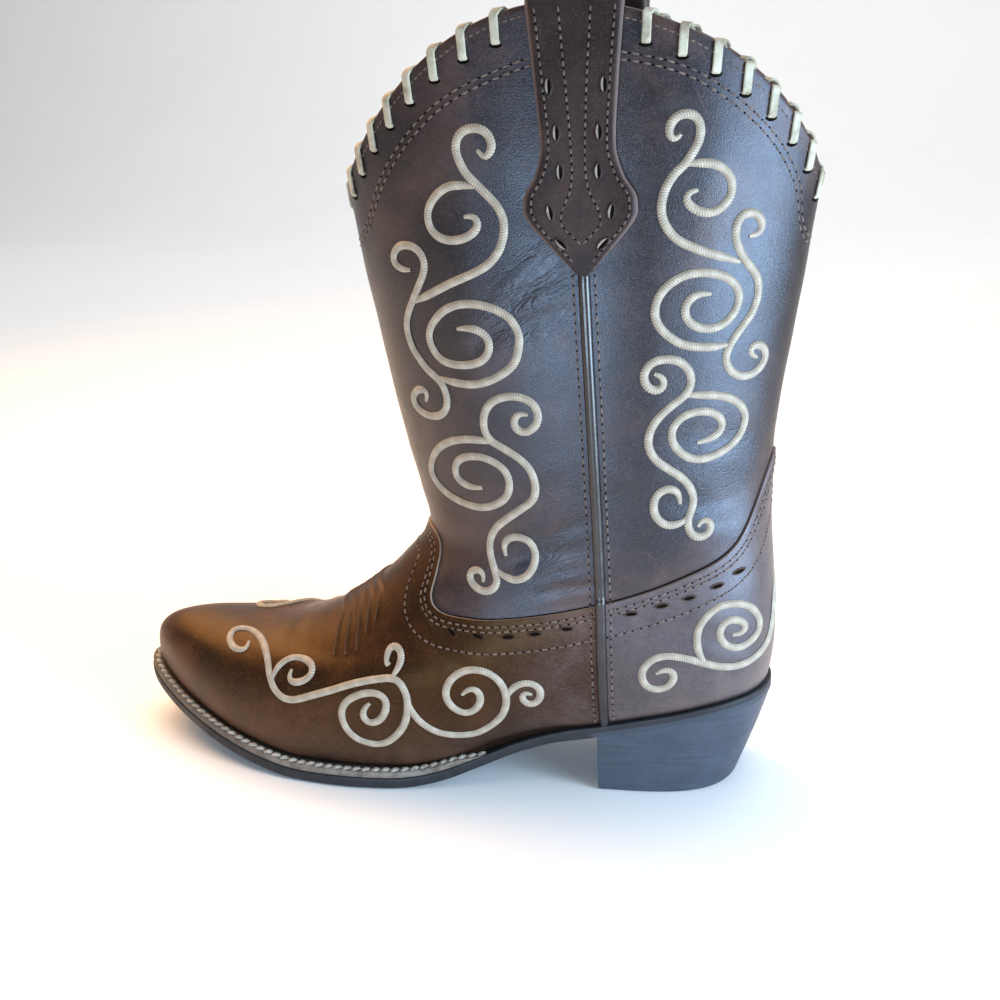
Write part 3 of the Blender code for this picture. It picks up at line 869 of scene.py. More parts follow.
def link(piece):
    """Put an object in the scene."""
    bpy.context.scene.collection.objects.link(piece)
    return piece


def mesh_piece(name, blocks, finish, sharp=None):
    """One object from blocks of (points in millimetres, quads, point values for the finish)."""
    points = np.concatenate([np.reshape(block[0], (-1, 3)) for block in blocks]) * MM
    starts = np.cumsum([0] + [np.reshape(block[0], (-1, 3)).shape[0] for block in blocks[:-1]])
    faces = np.concatenate([block[1] + start for block, start in zip(blocks, starts)])
    mesh = bpy.data.meshes.new(name)
    mesh.vertices.add(len(points))
    mesh.vertices.foreach_set("co", points.astype(np.float32).ravel())
    mesh.loops.add(faces.size)
    mesh.loops.foreach_set("vertex_index", faces.astype(np.int32).ravel())
    mesh.polygons.add(len(faces))
    mesh.polygons.foreach_set("loop_start", np.arange(0, faces.size, 4, dtype=np.int32))
    mesh.polygons.foreach_set("use_smooth", np.ones(len(faces), bool))
    mesh.update(calc_edges=True)
    for key in blocks[0][2]:
        values = np.concatenate([np.ravel(block[2][key]) for block in blocks])
        mesh.attributes.new(key, "FLOAT", "POINT").data.foreach_set("value", values.astype(np.float32))
    if sharp:
        mesh.set_sharp_from_angle(angle=math.radians(sharp))
    mesh.materials.append(finish)
    return link(bpy.data.objects.new(name, mesh))


def quads(rows, columns, wrap=False):
    """Quads of a grid of points, joined round if it wraps."""
    index = np.arange(rows * columns).reshape(rows, columns)
    if wrap:
        index = np.concatenate([index, index[:, :1]], axis=1)
    return np.stack([index[:-1, :-1], index[:-1, 1:], index[1:, 1:], index[1:, :-1]], axis=-1).reshape(-1, 4)


def ladder(loop):
    """Quads across a loop, from one side to the other."""
    i = np.arange(len(loop) // 2 - 1)
    return np.stack([loop[i], loop[i + 1], loop[-2 - i], loop[-1 - i]], axis=-1)


def tube(loops):
    """Points and quads of stacked loops, closed at both ends."""
    loops = np.asarray(loops)
    rows, columns = loops.shape[:2]
    index = np.arange(rows * columns).reshape(rows, columns)
    faces = [quads(rows, columns, wrap=True), ladder(index[0])[:, ::-1], ladder(index[-1])]
    return loops, np.concatenate(faces)


def dress(piece, slot, *nodes):
    """The piece rides on the boot and shows in place of the nodes; slot is not used."""
    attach(piece, "root")
    if nodes:
        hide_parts(*nodes)
    return piece


def even_turns(first, last, level, count):
    """Turns spaced evenly along the surface at one level."""
    turn = np.linspace(first, last, EVEN_STEPS)
    run = run_length(last_point(turn, level))
    return np.interp(np.linspace(0.0, run[-1], count), run, turn)


def panel_turns(front, share, level):
    """Turns across a front or back panel: share runs from -1 at one side seam to 1 at the other."""
    seam = seam_turn(level, 1)
    return share * seam if front else np.pi + share * (np.pi - seam)


def panel_grid(front, low, high, columns, rows, reference):
    """Turn and level of a panel between the side seams and between two lines, each a function of the turn."""
    seam = float(seam_turn(reference, 1))
    if front:
        share = even_turns(-seam, seam, reference, columns) / seam
    else:
        share = (even_turns(seam, 2 * np.pi - seam, reference, columns) - np.pi) / (np.pi - seam)
    up = np.linspace(0.0, 1.0, rows)[:, None]
    level = np.full((rows, columns), reference)
    for _ in range(GRID_STEPS):
        turn = panel_turns(front, share[None, :], level)
        level = low(turn) + (high(turn) - low(turn)) * up
    return turn, level


def foot_panel(name, front, grid, finish):
    """Vamp or counter: leather from the feather edge up to its cut edge."""
    turn, level = panel_grid(front, lambda t: 0.0 * t, edge_at, *grid, FOOT_LEVEL)
    body = leather(turn, np.minimum(level, edge_at(turn)), 0.0)
    top_turn, top = turn[-1], edge_at(turn[-1])
    columns = turn.shape[1]
    slide = CUT_ROUND / rise_at(top_turn, top)
    skirt = np.array([skin(turn[0], level[0], np.full(columns, out)) for out in SKIRT])
    skirt[..., 2] = sole_top(HEEL_CENTRE - skirt[..., 0])
    skirt[-1, :, 2] += SKIRT_LIFT
    bow = relief(top_turn, top)
    cap = [skin(top_turn, top + slide * rise, bow + OVERLAY * out) for rise, out in CUT_SECTION]
    points = np.concatenate([skirt, body, cap])
    depth = (edge_at(turn) - level) * rise_at(turn, np.maximum(level, WEAR_LEVEL))
    height = body[..., 2] - feather_height(HEEL_CENTRE - body[..., 0])
    along = HEEL_CENTRE - body[..., 0]
    wear = np.exp(-depth / CUT_REACH) * CUT_WEAR + np.exp(-np.maximum(height, 0) / EDGE_REACH) * SOLE_WEAR
    wear = wear + TOE_WEAR * ease(along, TOE_WEAR_FROM, LENGTH) + COUNTER_WEAR * (not front)
    lower, upper = np.ones((len(SKIRT), columns)), np.ones((len(CUT_SECTION), columns))
    fields = {
        "wear": np.concatenate([lower * SKIRT_WEAR, wear, upper * CUT_FACE_WEAR]),
        "cut": np.concatenate([lower * 0.0, wear * 0.0, upper]),
        # painted shade: dark in the corner where the upper stands on the sole
        "corner_shade": np.concatenate([lower, np.exp(-np.maximum(height, 0) / CORNER_SHADE_REACH), upper * 0.0]),
    }
    return mesh_piece(name, [(points, quads(*points.shape[:2]), fields)], finish)


def shaft_panel(name, front, finish):
    """Front or back of the shaft, from under the vamp's edge up to the rim, rolled in to the lining."""

    def low(turn):
        edge = edge_at(turn)
        return edge - SHAFT_TUCK / rise_at(turn, edge)

    turn, level = panel_grid(front, low, rim_at, *SHAFT_GRID, SHAFT_LEVEL)
    body = skin(turn, level, relief(turn, level))
    rim_turn, rim = turn[-1], rim_at(turn[-1])
    half = WALL / 2
    roll = []
    for angle in RIM_ROLL:
        lift = RIM_FLAT * half * math.sin(angle)
        roll.append(skin(rim_turn, rim, half * math.cos(angle) - half) + (0.0, 0.0, lift))
    points = np.concatenate([body, roll])
    depth = (rim_at(turn) - level) * rise_at(turn, level)
    height = (level - edge_at(turn)) * rise_at(turn, level)
    wear = np.exp(-depth / EDGE_REACH) * RIM_WEAR + np.exp(-np.maximum(height, 0) / ANKLE_REACH) * ANKLE_WEAR
    upper = np.ones((len(RIM_ROLL), turn.shape[1]))
    fields = {
        "wear": np.concatenate([wear, upper]),
        "cut": np.concatenate([depth * 0.0, upper]),
        "fold": np.concatenate([folding(turn, level), upper * 0.0]),
        # painted shade: dark just above the cut edge of vamp and counter
        "corner_shade": np.concatenate([np.exp(-height / CORNER_SHADE_REACH), upper * 0.0]),
    }
    return mesh_piece(name, [(points, quads(*points.shape[:2]), fields)], finish)


def shade_strip_piece(name, side, finish):
    """A strip of painted shade along the cut edge of vamp and counter, on one side of the boot."""
    degrees = np.linspace(SHADE_STRIP_FROM, 180.0, SHADE_STRIP_POINTS)
    turn = side * np.radians(degrees)
    edge = edge_at(turn)
    width = ease(degrees, SHADE_STRIP_FROM, SHADE_STRIP_WHOLE)
    low, high = EDGE_SHADE_STRIP
    rows = []
    for height in (low, low + (high - low) * width):
        level = edge + height / rise_at(turn, edge)
        rows.append(skin(turn, level, relief(turn, level) + SHADE_STRIP_LIFT))
    return mesh_piece(name, [(np.array(rows), quads(2, SHADE_STRIP_POINTS), {})], finish)


def lining_piece(finish):
    """The inside of the shaft and foot, seen through the collar."""
    columns, rows = LINING_GRID
    turn = even_turns(0.0, 2 * np.pi, LINING_LEVEL, columns + 1)[:-1]
    share = np.linspace(1.0, 0.0, rows)[:, None]
    level = rim_at(turn)[None, :] * share
    points = skin(np.broadcast_to(turn, level.shape), level, np.full(level.shape, -WALL))
    return mesh_piece("lining", [(points, quads(rows, columns, wrap=True), {})], finish)


def sole_loop(reach, height):
    """A loop round the sole: its reach is a function of the side in degrees, its height one of along."""
    plan = plan_outline(reach)
    return np.stack([HEEL_CENTRE - plan[:, 0], plan[:, 1], height(plan[:, 0])], axis=1)


def welt_share(along):
    """The welt's thickness fades out at its ends."""
    return ease(along, WELT_END - WELT_FADE[0], WELT_END + WELT_FADE[1])


def sole_top(along):
    """What the upper stands on: the outsole, and the welt on it in front."""
    return sole_bottom(along) + OUTSOLE + (WELT + GAP) * welt_share(along)


# Turns between which the tread's soft edge fades out over the heel
SEAT_TURNS = (110.0, 120.0)

# Sole edge: mm out from its full reach, mm above its lower or its upper face, layer from tread (0) to top (1)
TREAD_EDGE = ((-7.0, 0.0, 0.0), (-0.9, 0.0, 0.0), (-0.35, 0.22, 0.05), (-0.08, 0.6, 0.12), (0.0, 1.2, 0.25))
TOP_EDGE = ((0.0, -0.7, 0.85), (-0.1, -0.25, 0.95), (-0.4, 0.0, 1.0))

# Insole edge: mm out from its outline, mm above its lower face
INSOLE_EDGE = ((0.0, 0.0), (0.0, INSOLE - 0.6), (-0.25, INSOLE - 0.15), (-0.8, INSOLE), (-6.0, INSOLE))

# Heel section: mm in from its outline, share of its height; the rows above it, and the seam under the sole
HEEL_EDGE = ((1.0, 0.0), (0.35, 0.0), (0.08, 0.012), (0.0, 0.035))
HEEL_ROWS = np.linspace(0.08, 1.0, 14)
HEEL_SEAM = 0.02


def outsole_piece(finish):
    """The sole board with a rounded tread edge."""
    loops = [
        sole_loop(
            lambda side: sole_reach(side) + out * (1 - ease(side, *SEAT_TURNS)),
            lambda along: sole_bottom(along) + up,
        )
        for out, up, _ in TREAD_EDGE
    ]
    loops += [
        sole_loop(lambda side: sole_reach(side) + out, lambda along: sole_bottom(along) + OUTSOLE + up)
        for out, up, _ in TOP_EDGE
    ]
    loops.append(sole_loop(lambda side: 0.0 * side - WALL, lambda along: sole_bottom(along) + OUTSOLE))
    points, faces = tube(loops)
    layers = [layer for _, _, layer in (*TREAD_EDGE, *TOP_EDGE)] + [1.0]
    fields = {"layer": np.repeat(layers, PLAN_POINTS)}
    return mesh_piece("outsole_edge", [(points, faces, fields)], finish, sharp=50)


def insole_piece(finish):
    """The padded board that shows inside, with a soft upper edge."""
    loops = [
        sole_loop(
            lambda side: 0.0 * side - WALL - INSOLE_TUCK + out,
            lambda along: feather_height(along) + up,
        )
        for out, up in INSOLE_EDGE
    ]
    points, faces = tube(loops)
    return mesh_piece("sock_lining", [(points, faces, {})], finish)


def heel_piece(finish):
    """The heel block: underslung back, straight breast, a softened edge round the top piece."""
    profile = [*HEEL_EDGE, *((0.0, share) for share in HEEL_ROWS)]
    base = plan_outline(lambda side: sole_reach(side) - GAP)
    chosen = np.flatnonzero(base[:, 0] < BREAST)
    chosen = chosen[: len(chosen) // 2 * 2]
    back = base[:, 0].min()
    loops = []
    for inset, share in profile:
        plan = plan_outline(lambda side: sole_reach(side) - GAP - inset)[chosen]
        along = plan[:, 0].copy()
        along[0] = along[-1] = BREAST - inset
        under = UNDERSLING * (np.clip(BREAST - along, 0, None) / (BREAST - back)) ** UNDERSLING_FADE
        slim = HEEL_TAPER + (1 - HEEL_TAPER) * share
        height = (sole_bottom(along) - HEEL_SEAM) * share
        x = HEEL_CENTRE - along - under * (1 - share) ** BACK_HOLLOW
        loops.append(np.stack([x, plan[:, 1] * slim, height], axis=1))
    points, faces = tube(loops)
    return mesh_piece("heel_block", [(points, faces, {})], finish, sharp=45)


# Welt section: mm in from its outer edge, mm above its lower face
WELT_SECTION = (
    (6.6, 0.0),
    (0.5, 0.0),
    (0.1, 0.3),
    (0.0, 0.9),
    (0.0, 1.7),
    (0.15, 2.25),
    (0.6, 2.58),
    (1.3, 2.66),
    (2.1, 2.35),
    (3.0, 2.3),
    (3.8, 2.62),
    (6.6, 2.66),
)

# The welt's stitches: mm in from its edge, mm above its lower face; and where painted shade darkens the welt
# inwards under them
WELT_ROW = 2.3
WELT_ROW_UP = 2.55
WELT_GROOVE = (1.2, 2.1)

# Piping: rows, points across, roundness, sunk foot; levels of its step down off the vamp, and at its ends
PIPING_GRID = (260, 13)
PIPING_ROUND = 0.8
PIPING_SINK = 0.25
PIPING_STEP = (-0.05, 0.25)
PIPING_ENDS = (0.02, 0.05)

# A level near the vamp's edge at the side seam, and one near the top of the shaft
SEAM_EDGE_LEVEL = 5.0
STRAP_LEVEL = LEVELS - 0.2

# Strap: points across, rows of its outside tail, loop and inside tail, and where the inside tail starts
STRAP_COLUMNS = 17
TAIL_ROWS = 90
LOOP_ROWS = 49
INSIDE_ROWS = 20
INSIDE_START = 4.0

# How the strap thins at its cut edges, how sharply, and how narrow the pale cut is
STRAP_THIN = 0.55
STRAP_THIN_POWER = 14
STRAP_CUT_POWER = 22


def welt_lines():
    """The welt's outer edge and the direction in from it, from the inner waist round the toe to the outer."""
    outer = plan_outline(lambda side: sole_reach(side) - WELT_INSET)
    inner = plan_outline(lambda side: sole_reach(side) - WELT_INSET - 1.0)
    turns = np.arange(PLAN_POINTS)
    welted = outer[:, 0] > WELT_END - WELT_RUN_ON
    near = turns[(turns < PLAN_POINTS // 2) & welted].max()
    far = turns[(turns > PLAN_POINTS // 2) & welted].min() - PLAN_POINTS
    rows = np.arange(far, near + 1)
    return outer[rows], inner[rows] - outer[rows]


def welt_point(edge, inward, inset, up):
    """Points on the welt, a distance in from its edge."""
    plan = edge + inward * inset
    height = sole_bottom(plan[:, 0]) + OUTSOLE + up * (WELT + GAP) / WELT * welt_share(plan[:, 0])
    return np.stack([HEEL_CENTRE - plan[:, 0], plan[:, 1], height], axis=1)


def welt_piece(finish):
    """The welt strip with a groove under its stitches."""
    edge, inward = welt_lines()
    loops = np.stack([welt_point(edge, inward, inset, up) for inset, up in WELT_SECTION], axis=1)
    points, faces = tube(loops)
    groove = ease(np.array(WELT_SECTION)[:, 0], *WELT_GROOVE) * np.ones((len(edge), 1))
    return mesh_piece("welt_strip", [(points, faces[:, ::-1], {"groove": groove})], finish, sharp=60)


def piping_piece(side, finish):
    """The half-round cord over a side seam, from the sole up under the strap's tip."""
    rows, columns = PIPING_GRID
    tip = float(level_of_height(side * np.pi / 2, HUMP - TAIL)) + PIPING_ENDS[1]
    edge = float(edge_at(seam_turn(SEAM_EDGE_LEVEL, side)))
    level = np.linspace(PIPING_ENDS[0], tip, rows)[:, None]
    around = np.radians(np.linspace(0, 180, columns))[None, :]
    across = -0.5 * np.cos(around) * PIPING_WIDTH
    rise = np.sin(around) ** PIPING_ROUND * PIPING_HEIGHT
    turn = strip_turn(seam_turn(level, side), level, across)
    base = OVERLAY * (1 - ease(level, edge + PIPING_STEP[0], edge + PIPING_STEP[1])) + relief(turn, level)
    points = skin(turn, np.broadcast_to(level, turn.shape), base + rise - PIPING_SINK)
    word = "outer" if side > 0 else "inner"
    return mesh_piece(f"piping_{word}", [(points, quads(*points.shape[:2]), {})], finish)


def strap_sheet(side):
    """Middle points and normals of the strap, rows from the tail's tip over the loop to the inside tail."""
    top_turn = seam_turn(STRAP_LEVEL, side)
    stand, sunk = GAP + STRAP / 2, WALL + GAP + STRAP / 2
    across = np.linspace(-0.5, 0.5, STRAP_COLUMNS)
    rows, normals = [], []
    for up in np.linspace(0.0, TAIL, TAIL_ROWS):
        level = level_of_height(top_turn, HUMP - TAIL + up)
        turn = strip_turn(seam_turn(level, side), level, across * smooth_curve(STRAP_WIDTHS, up))
        rows.append(skin(turn, level, np.full(turn.shape, stand)))
        normals.append(outward(turn, np.full(turn.shape, level)))
    level = level_of_height(top_turn, HUMP)
    turn = strip_turn(seam_turn(level, side), level, across * STRAP_WIDTHS[-1][1])
    foot = last_point(turn, level)
    out = unit(outward(turn, np.full(turn.shape, level)) * (1.0, 1.0, 0.0))
    middle, narrow, wide = (stand - sunk) / 2, (stand + sunk) / 2, (LOOP_GAP + STRAP) / 2
    for angle in np.radians(np.linspace(0, 180, LOOP_ROWS)):
        bulge = min(1.0, LOOP_BELLY * math.sqrt(math.sin(angle)))
        spread = narrow + (wide - narrow) * bulge
        lift = LOOP_FOOT + LOOP_RISE * math.sin(angle) ** LOOP_SHAPE
        rows.append(foot + out * (middle + spread * math.cos(angle)) + (0.0, 0.0, lift))
        normals.append(out * math.cos(angle) + np.array([0.0, 0.0, math.sin(angle)]))
    for down in np.linspace(INSIDE_START, INSIDE_TAIL, INSIDE_ROWS):
        level = level_of_height(top_turn, HUMP - down)
        turn = strip_turn(seam_turn(level, side), level, across * STRAP_WIDTHS[-1][1])
        rows.append(skin(turn, level, np.full(turn.shape, -sunk)))
        normals.append(-outward(turn, np.full(turn.shape, level)))
    return np.array(rows), np.array(normals), across


def strap_piece(side, finish):
    """The pull strap with softened, paler cut edges."""
    middle, normal, across = strap_sheet(side)
    half = STRAP / 2 * (1 - STRAP_THIN * np.abs(2 * across) ** STRAP_THIN_POWER)[None, :, None]
    loops = np.concatenate([middle + normal * half, (middle - normal * half)[:, ::-1]], axis=1)
    points, faces = tube(loops)
    edge = np.abs(2 * across) ** STRAP_CUT_POWER
    edge = np.broadcast_to(np.concatenate([edge, edge[::-1]]), loops.shape[:2])
    word = "outer" if side > 0 else "inner"
    fields = {"wear": edge * CUT_FACE_WEAR, "cut": edge}
    return mesh_piece(f"strap_{word}", [(points, faces, fields)], finish)


def strap_places(side, up, off, lift):
    """Points and normals of a row on the strap's outside tail."""
    top_turn = seam_turn(STRAP_LEVEL, side)
    level = level_of_height(np.full(len(up), float(top_turn)), HUMP - TAIL + up)
    turn = strip_turn(seam_turn(level, side), level, off)
    points = skin(turn, level, np.full(len(up), GAP + STRAP + lift))
    return points, outward(turn, level)


def set_along(points, normals, pitch):
    """Even places along a line: points, directions and normals."""
    run = run_length(points)
    count = max(1, int(round(run[-1] / pitch)))
    at = (np.arange(count) + 0.5) * run[-1] / count
    along = unit(np.gradient(points, axis=0))
    return tuple(
        np.stack([np.interp(at, run, values[:, k]) for k in range(3)], axis=1)
        for values in (points, along, normals)
    )


def row_places(turn, level, lift, pitch):
    """Stitch places along a row on the leather."""
    return set_along(leather(turn, level, lift), outward(turn, level), pitch)


def unit_piece(name, points, faces):
    """A small object of unit size, to be set on rows."""
    mesh = bpy.data.meshes.new(name)
    mesh.from_pydata([tuple(p) for p in points], [], [tuple(f) for f in faces])
    for polygon in mesh.polygons:
        polygon.use_smooth = True
    return link(bpy.data.objects.new(name, mesh))


# A stitch of unit size: rings and sides, how blunt its ends are, how far they bend down
STITCH_RINGS = 8
STITCH_SIDES = 7
STITCH_BLUNT = 0.55
STITCH_BEND = 2.2

# A slit of unit size: points round it and how pointed it is
SLIT_POINTS = 20
SLIT_POINTED = 0.4

# Rings of a slit as shares of its outline, with heights: hole, dark with painted shade, lip round it, pale
# cut face on one side, partly a painted highlight
SLIT_HOLE = ((0.02, 0.1), (0.6, 0.16), (1.0, 0.3))
SLIT_LIP = ((0.96, 0.0), (1.06, 0.75), (1.16, 0.9), (1.3, 0.35), (1.42, -0.2))
SLIT_FACE = ((0.25, 0.32), (0.5, 0.6), (0.85, 0.95), (1.1, 0.8))

# How much more a lip spreads sideways than lengthways, and the cut face's share of the length
LIP_SPREAD = 2.2
FACE_LENGTH = 0.98


def stitch_unit():
    """One thread of unit size, its ends bent down into their holes."""
    angle = np.linspace(-np.pi / 2, np.pi / 2, STITCH_RINGS)
    around = np.arange(STITCH_SIDES) * 2 * np.pi / STITCH_SIDES
    along = 0.5 * np.sin(angle)
    radius = 0.5 * np.cos(angle) ** STITCH_BLUNT
    points = [
        (x, r * math.cos(a), r * math.sin(a) - STITCH_BEND * x**2)
        for x, r in zip(along, radius)
        for a in around
    ]
    return unit_piece("thread_unit", points, quads(STITCH_RINGS, STITCH_SIDES, wrap=True).tolist())


def slit_units():
    """A lens-shaped cut of unit size: its hole, dark with painted shade, the lip round it, and the pale cut
    face on one side, partly a painted highlight.
    """
    angle = np.arange(SLIT_POINTS) * 2 * np.pi / SLIT_POINTS
    half_width = 0.5 * np.sin(angle) * np.abs(np.sin(angle)) ** SLIT_POINTED
    lens = np.stack([0.5 * np.cos(angle), half_width], axis=1)
    bank = lens[1 : SLIT_POINTS // 2]
    hole = [(x * s, y * s, z) for s, z in SLIT_HOLE for x, y in lens]
    lip = [(x * s, y * (1 + (s - 1) * LIP_SPREAD), z) for s, z in SLIT_LIP for x, y in lens]
    flesh = [(x * FACE_LENGTH, y * s, z) for s, z in SLIT_FACE for x, y in bank]
    return (
        unit_piece("slit_hole_unit", hole, quads(len(SLIT_HOLE), SLIT_POINTS, wrap=True)[:, ::-1].tolist()),
        unit_piece("slit_lip_unit", lip, quads(len(SLIT_LIP), SLIT_POINTS, wrap=True)[:, ::-1].tolist()),
        unit_piece("slit_flesh_unit", flesh, quads(len(SLIT_FACE), len(bank))[:, ::-1].tolist()),
    )


def rows_tree():
    """Nodes that set a unit on points, turned along each row and away from the surface; with their inputs."""
    tree = bpy.data.node_groups.new("set_on_rows", "GeometryNodeTree")
    face = tree.interface
    face.new_socket("Geometry", in_out="INPUT", socket_type="NodeSocketGeometry")
    names = {}
    sizes = (("Length", "Float"), ("Width", "Float"), ("Height", "Float"))
    for word, kind in (("Unit", "Object"), *sizes, ("Finish", "Material")):
        names[word] = face.new_socket(word, in_out="INPUT", socket_type=f"NodeSocket{kind}").identifier
    face.new_socket("Geometry", in_out="OUTPUT", socket_type="NodeSocketGeometry")
    nodes, links = tree.nodes, tree.links
    given = nodes.new("NodeGroupInput")
    unit_info = nodes.new("GeometryNodeObjectInfo")
    links.new(given.outputs["Unit"], unit_info.inputs["Object"])
    turned = None
    for key, axis, pivot in (("along", "X", "AUTO"), ("up", "Z", "X")):
        named = nodes.new("GeometryNodeInputNamedAttribute")
        named.data_type = "FLOAT_VECTOR"
        named.inputs["Name"].default_value = key
        align = nodes.new("FunctionNodeAlignRotationToVector")
        align.axis = axis
        align.pivot_axis = pivot
        links.new(named.outputs["Attribute"], align.inputs["Vector"])
        if turned:
            links.new(turned.outputs["Rotation"], align.inputs["Rotation"])
        turned = align
    size = nodes.new("ShaderNodeCombineXYZ")
    for word, axis in (("Length", "X"), ("Width", "Y"), ("Height", "Z")):
        links.new(given.outputs[word], size.inputs[axis])
    place = nodes.new("GeometryNodeInstanceOnPoints")
    links.new(given.outputs["Geometry"], place.inputs["Points"])
    links.new(unit_info.outputs["Geometry"], place.inputs["Instance"])
    links.new(turned.outputs["Rotation"], place.inputs["Rotation"])
    links.new(size.outputs["Vector"], place.inputs["Scale"])
    real = nodes.new("GeometryNodeRealizeInstances")
    links.new(place.outputs["Instances"], real.inputs["Geometry"])
    finish = nodes.new("GeometryNodeSetMaterial")
    links.new(real.outputs["Geometry"], finish.inputs["Geometry"])
    links.new(given.outputs["Finish"], finish.inputs["Material"])
    done = nodes.new("NodeGroupOutput")
    links.new(finish.outputs["Geometry"], done.inputs["Geometry"])
    return tree, names


def set_on_rows(name, tree, names, thing, places, size, finish):
    """A plain mesh of units at the places; size is length, width and height in millimetres."""
    points, along, up = (np.concatenate([place[k] for place in places]) for k in range(3))
    mesh = bpy.data.meshes.new(name)
    mesh.from_pydata((points * MM).tolist(), [], [])
    for key, values in (("along", along), ("up", up)):
        held = mesh.attributes.new(key, "FLOAT_VECTOR", "POINT")
        held.data.foreach_set("vector", values.astype(np.float32).ravel())
    carrier = link(bpy.data.objects.new(f"{name}_rows", mesh))
    modifier = carrier.modifiers.new("rows", "NODES")
    modifier.node_group = tree
    modifier[names["Unit"]] = thing
    for word, value in zip(("Length", "Width", "Height"), size):
        modifier[names[word]] = value * MM
    modifier[names["Finish"]] = finish
    seen = carrier.evaluated_get(bpy.context.evaluated_depsgraph_get())
    plain = bpy.data.meshes.new_from_object(seen)
    carrier.modifiers.remove(modifier)
    bpy.data.objects.remove(carrier)
    return link(bpy.data.objects.new(name, plain))


def casting_tree(turns, levels):
    """The leather as a net that a line of sight can be cast on."""
    turn, level = np.meshgrid(turns, levels)
    points = leather(turn, level, 0.0) * MM
    return BVHTree.FromPolygons(points.reshape(-1, 3).tolist(), quads(*turn.shape).tolist())


# Turns and levels of the net
CAST_TURNS = np.radians(np.linspace(-30, 200, 346))
CAST_LEVELS = np.linspace(0.0, LEVELS, 341)


def under_picture(tree, line):
    """Turn and level of the leather under points of the picture."""
    right, up, ahead = camera_axes()
    focal = LENS / SENSOR * FRAME
    places, faces = [], []
    for u, v in line:
        sight = (ahead * focal + right * (u - FRAME / 2) - up * (v - FRAME / 2)).normalized()
        hit, _, face, _ = tree.ray_cast(Vector(EYE), sight)
        if hit is not None:
            places.append(hit)
            faces.append(face)
    row, column = np.divmod(np.array(faces), len(CAST_TURNS) - 1)
    turn, level = CAST_TURNS[column], CAST_LEVELS[row]
    turn_step, level_step = CAST_TURNS[1] - CAST_TURNS[0], CAST_LEVELS[1] - CAST_LEVELS[0]
    corner = leather(turn, level, 0.0)
    by_turn = leather(turn + turn_step, level, 0.0) - corner
    by_level = leather(turn, level + level_step, 0.0) - corner
    shares = in_plane(by_turn, by_level, np.array(places) / MM - corner)
    return np.stack([turn + shares[0] * turn_step, level + shares[1] * level_step], axis=1)


def soften(line, reach):
    """A line smoothed over a few of its points, its ends kept."""
    pad = 3 * reach
    kernel = np.exp(-0.5 * (np.arange(-pad, pad + 1) / reach) ** 2)
    kernel /= kernel.sum()
    before = 2 * line[:1] - line[1 : pad + 1][::-1]
    after = 2 * line[-1:] - line[-pad - 1 : -1][::-1]
    long = np.concatenate([before, line, after])
    return np.stack([np.convolve(long[:, k], kernel, mode="valid") for k in range(line.shape[1])], axis=1)


# A charted stroke: step in the picture, fewest points, and points over which it is smoothed
STROKE_STEP = 1.5
STROKE_LEAST = 12
STROKE_REACH = 4


def drawn(points):
    """A charted stroke as an even, smooth line in the picture."""
    points = np.array(points, float)
    run = run_length(points)
    at = np.linspace(0.0, run[-1], max(STROKE_LEAST, int(run[-1] / STROKE_STEP)))
    line = np.stack([np.interp(at, run, points[:, k]) for k in range(2)], axis=1)
    reach = min(STROKE_REACH, (len(line) - 2) // 3)
    smooth = soften(line, reach)
    return smooth + soften(line - smooth, reach)


def cord_block(turn, level, width, height, pitch, step, sink, taper):
    """A raised cord along a line on the leather, wound with slanted threads; with no pitch, a soft ridge."""
    run = run_length(last_point(turn, level))
    at = np.linspace(0.0, run[-1], int(run[-1] / step))
    turn, level = np.interp(at, run, turn), np.interp(at, run, level)
    middle, normal = leather(turn, level, 0.0), outward(turn, level)
    along = unit(np.gradient(middle, axis=0))
    side = np.cross(normal, along)
    across = np.linspace(-1.0, 1.0, CORD_COLUMNS)[None, :]
    blunt = -CORD_BLUNT * taper
    ends = (ease(at, blunt, taper) * ease(run[-1] - at, blunt, taper))[:, None]
    crown = np.cos(across * np.pi / 2) ** 2
    tone = np.zeros((len(at), CORD_COLUMNS))
    thread = np.ones((len(at), CORD_COLUMNS))
    if pitch:
        count = at[:, None] / pitch + across * CORD_SLANT
        thread = np.abs(np.sin(np.pi * count)) ** CORD_FULL
        tone = np.abs(np.sin(np.floor(count) * TONE_SCATTER[0] + turn[0] * TONE_SCATTER[1])) % 1.0
        crown = np.sqrt(1.0 - CORD_ROUND * across**2)
    off = across * width / 2 * ends * (CORD_GROOVE[0] + CORD_THREAD[0] * thread)
    up = height * ends * crown * (CORD_GROOVE[1] + CORD_THREAD[1] * thread) - sink
    points = middle[:, None] + side[:, None] * off[..., None] + normal[:, None] * up[..., None]
    fields = {"tone": tone, "groove": 1.0 - thread}
    return points, quads(*points.shape[:2])[:, ::-1], fields


def colour(red, green, blue):
    """A colour as the eye gives it, 0 to 255, in the linear numbers that a shader takes."""
    shares = [v / 255 for v in (red, green, blue)]
    return (*[s / 12.92 if s <= 0.04045 else ((s + 0.055) / 1.055) ** 2.4 for s in shares], 1.0)


# Places of a Mix node's share, first and second colour among its inputs, and of its colour among its outputs
COLOUR_MIX_INPUTS = (0, 6, 7)
COLOUR_MIX_RESULT = 2


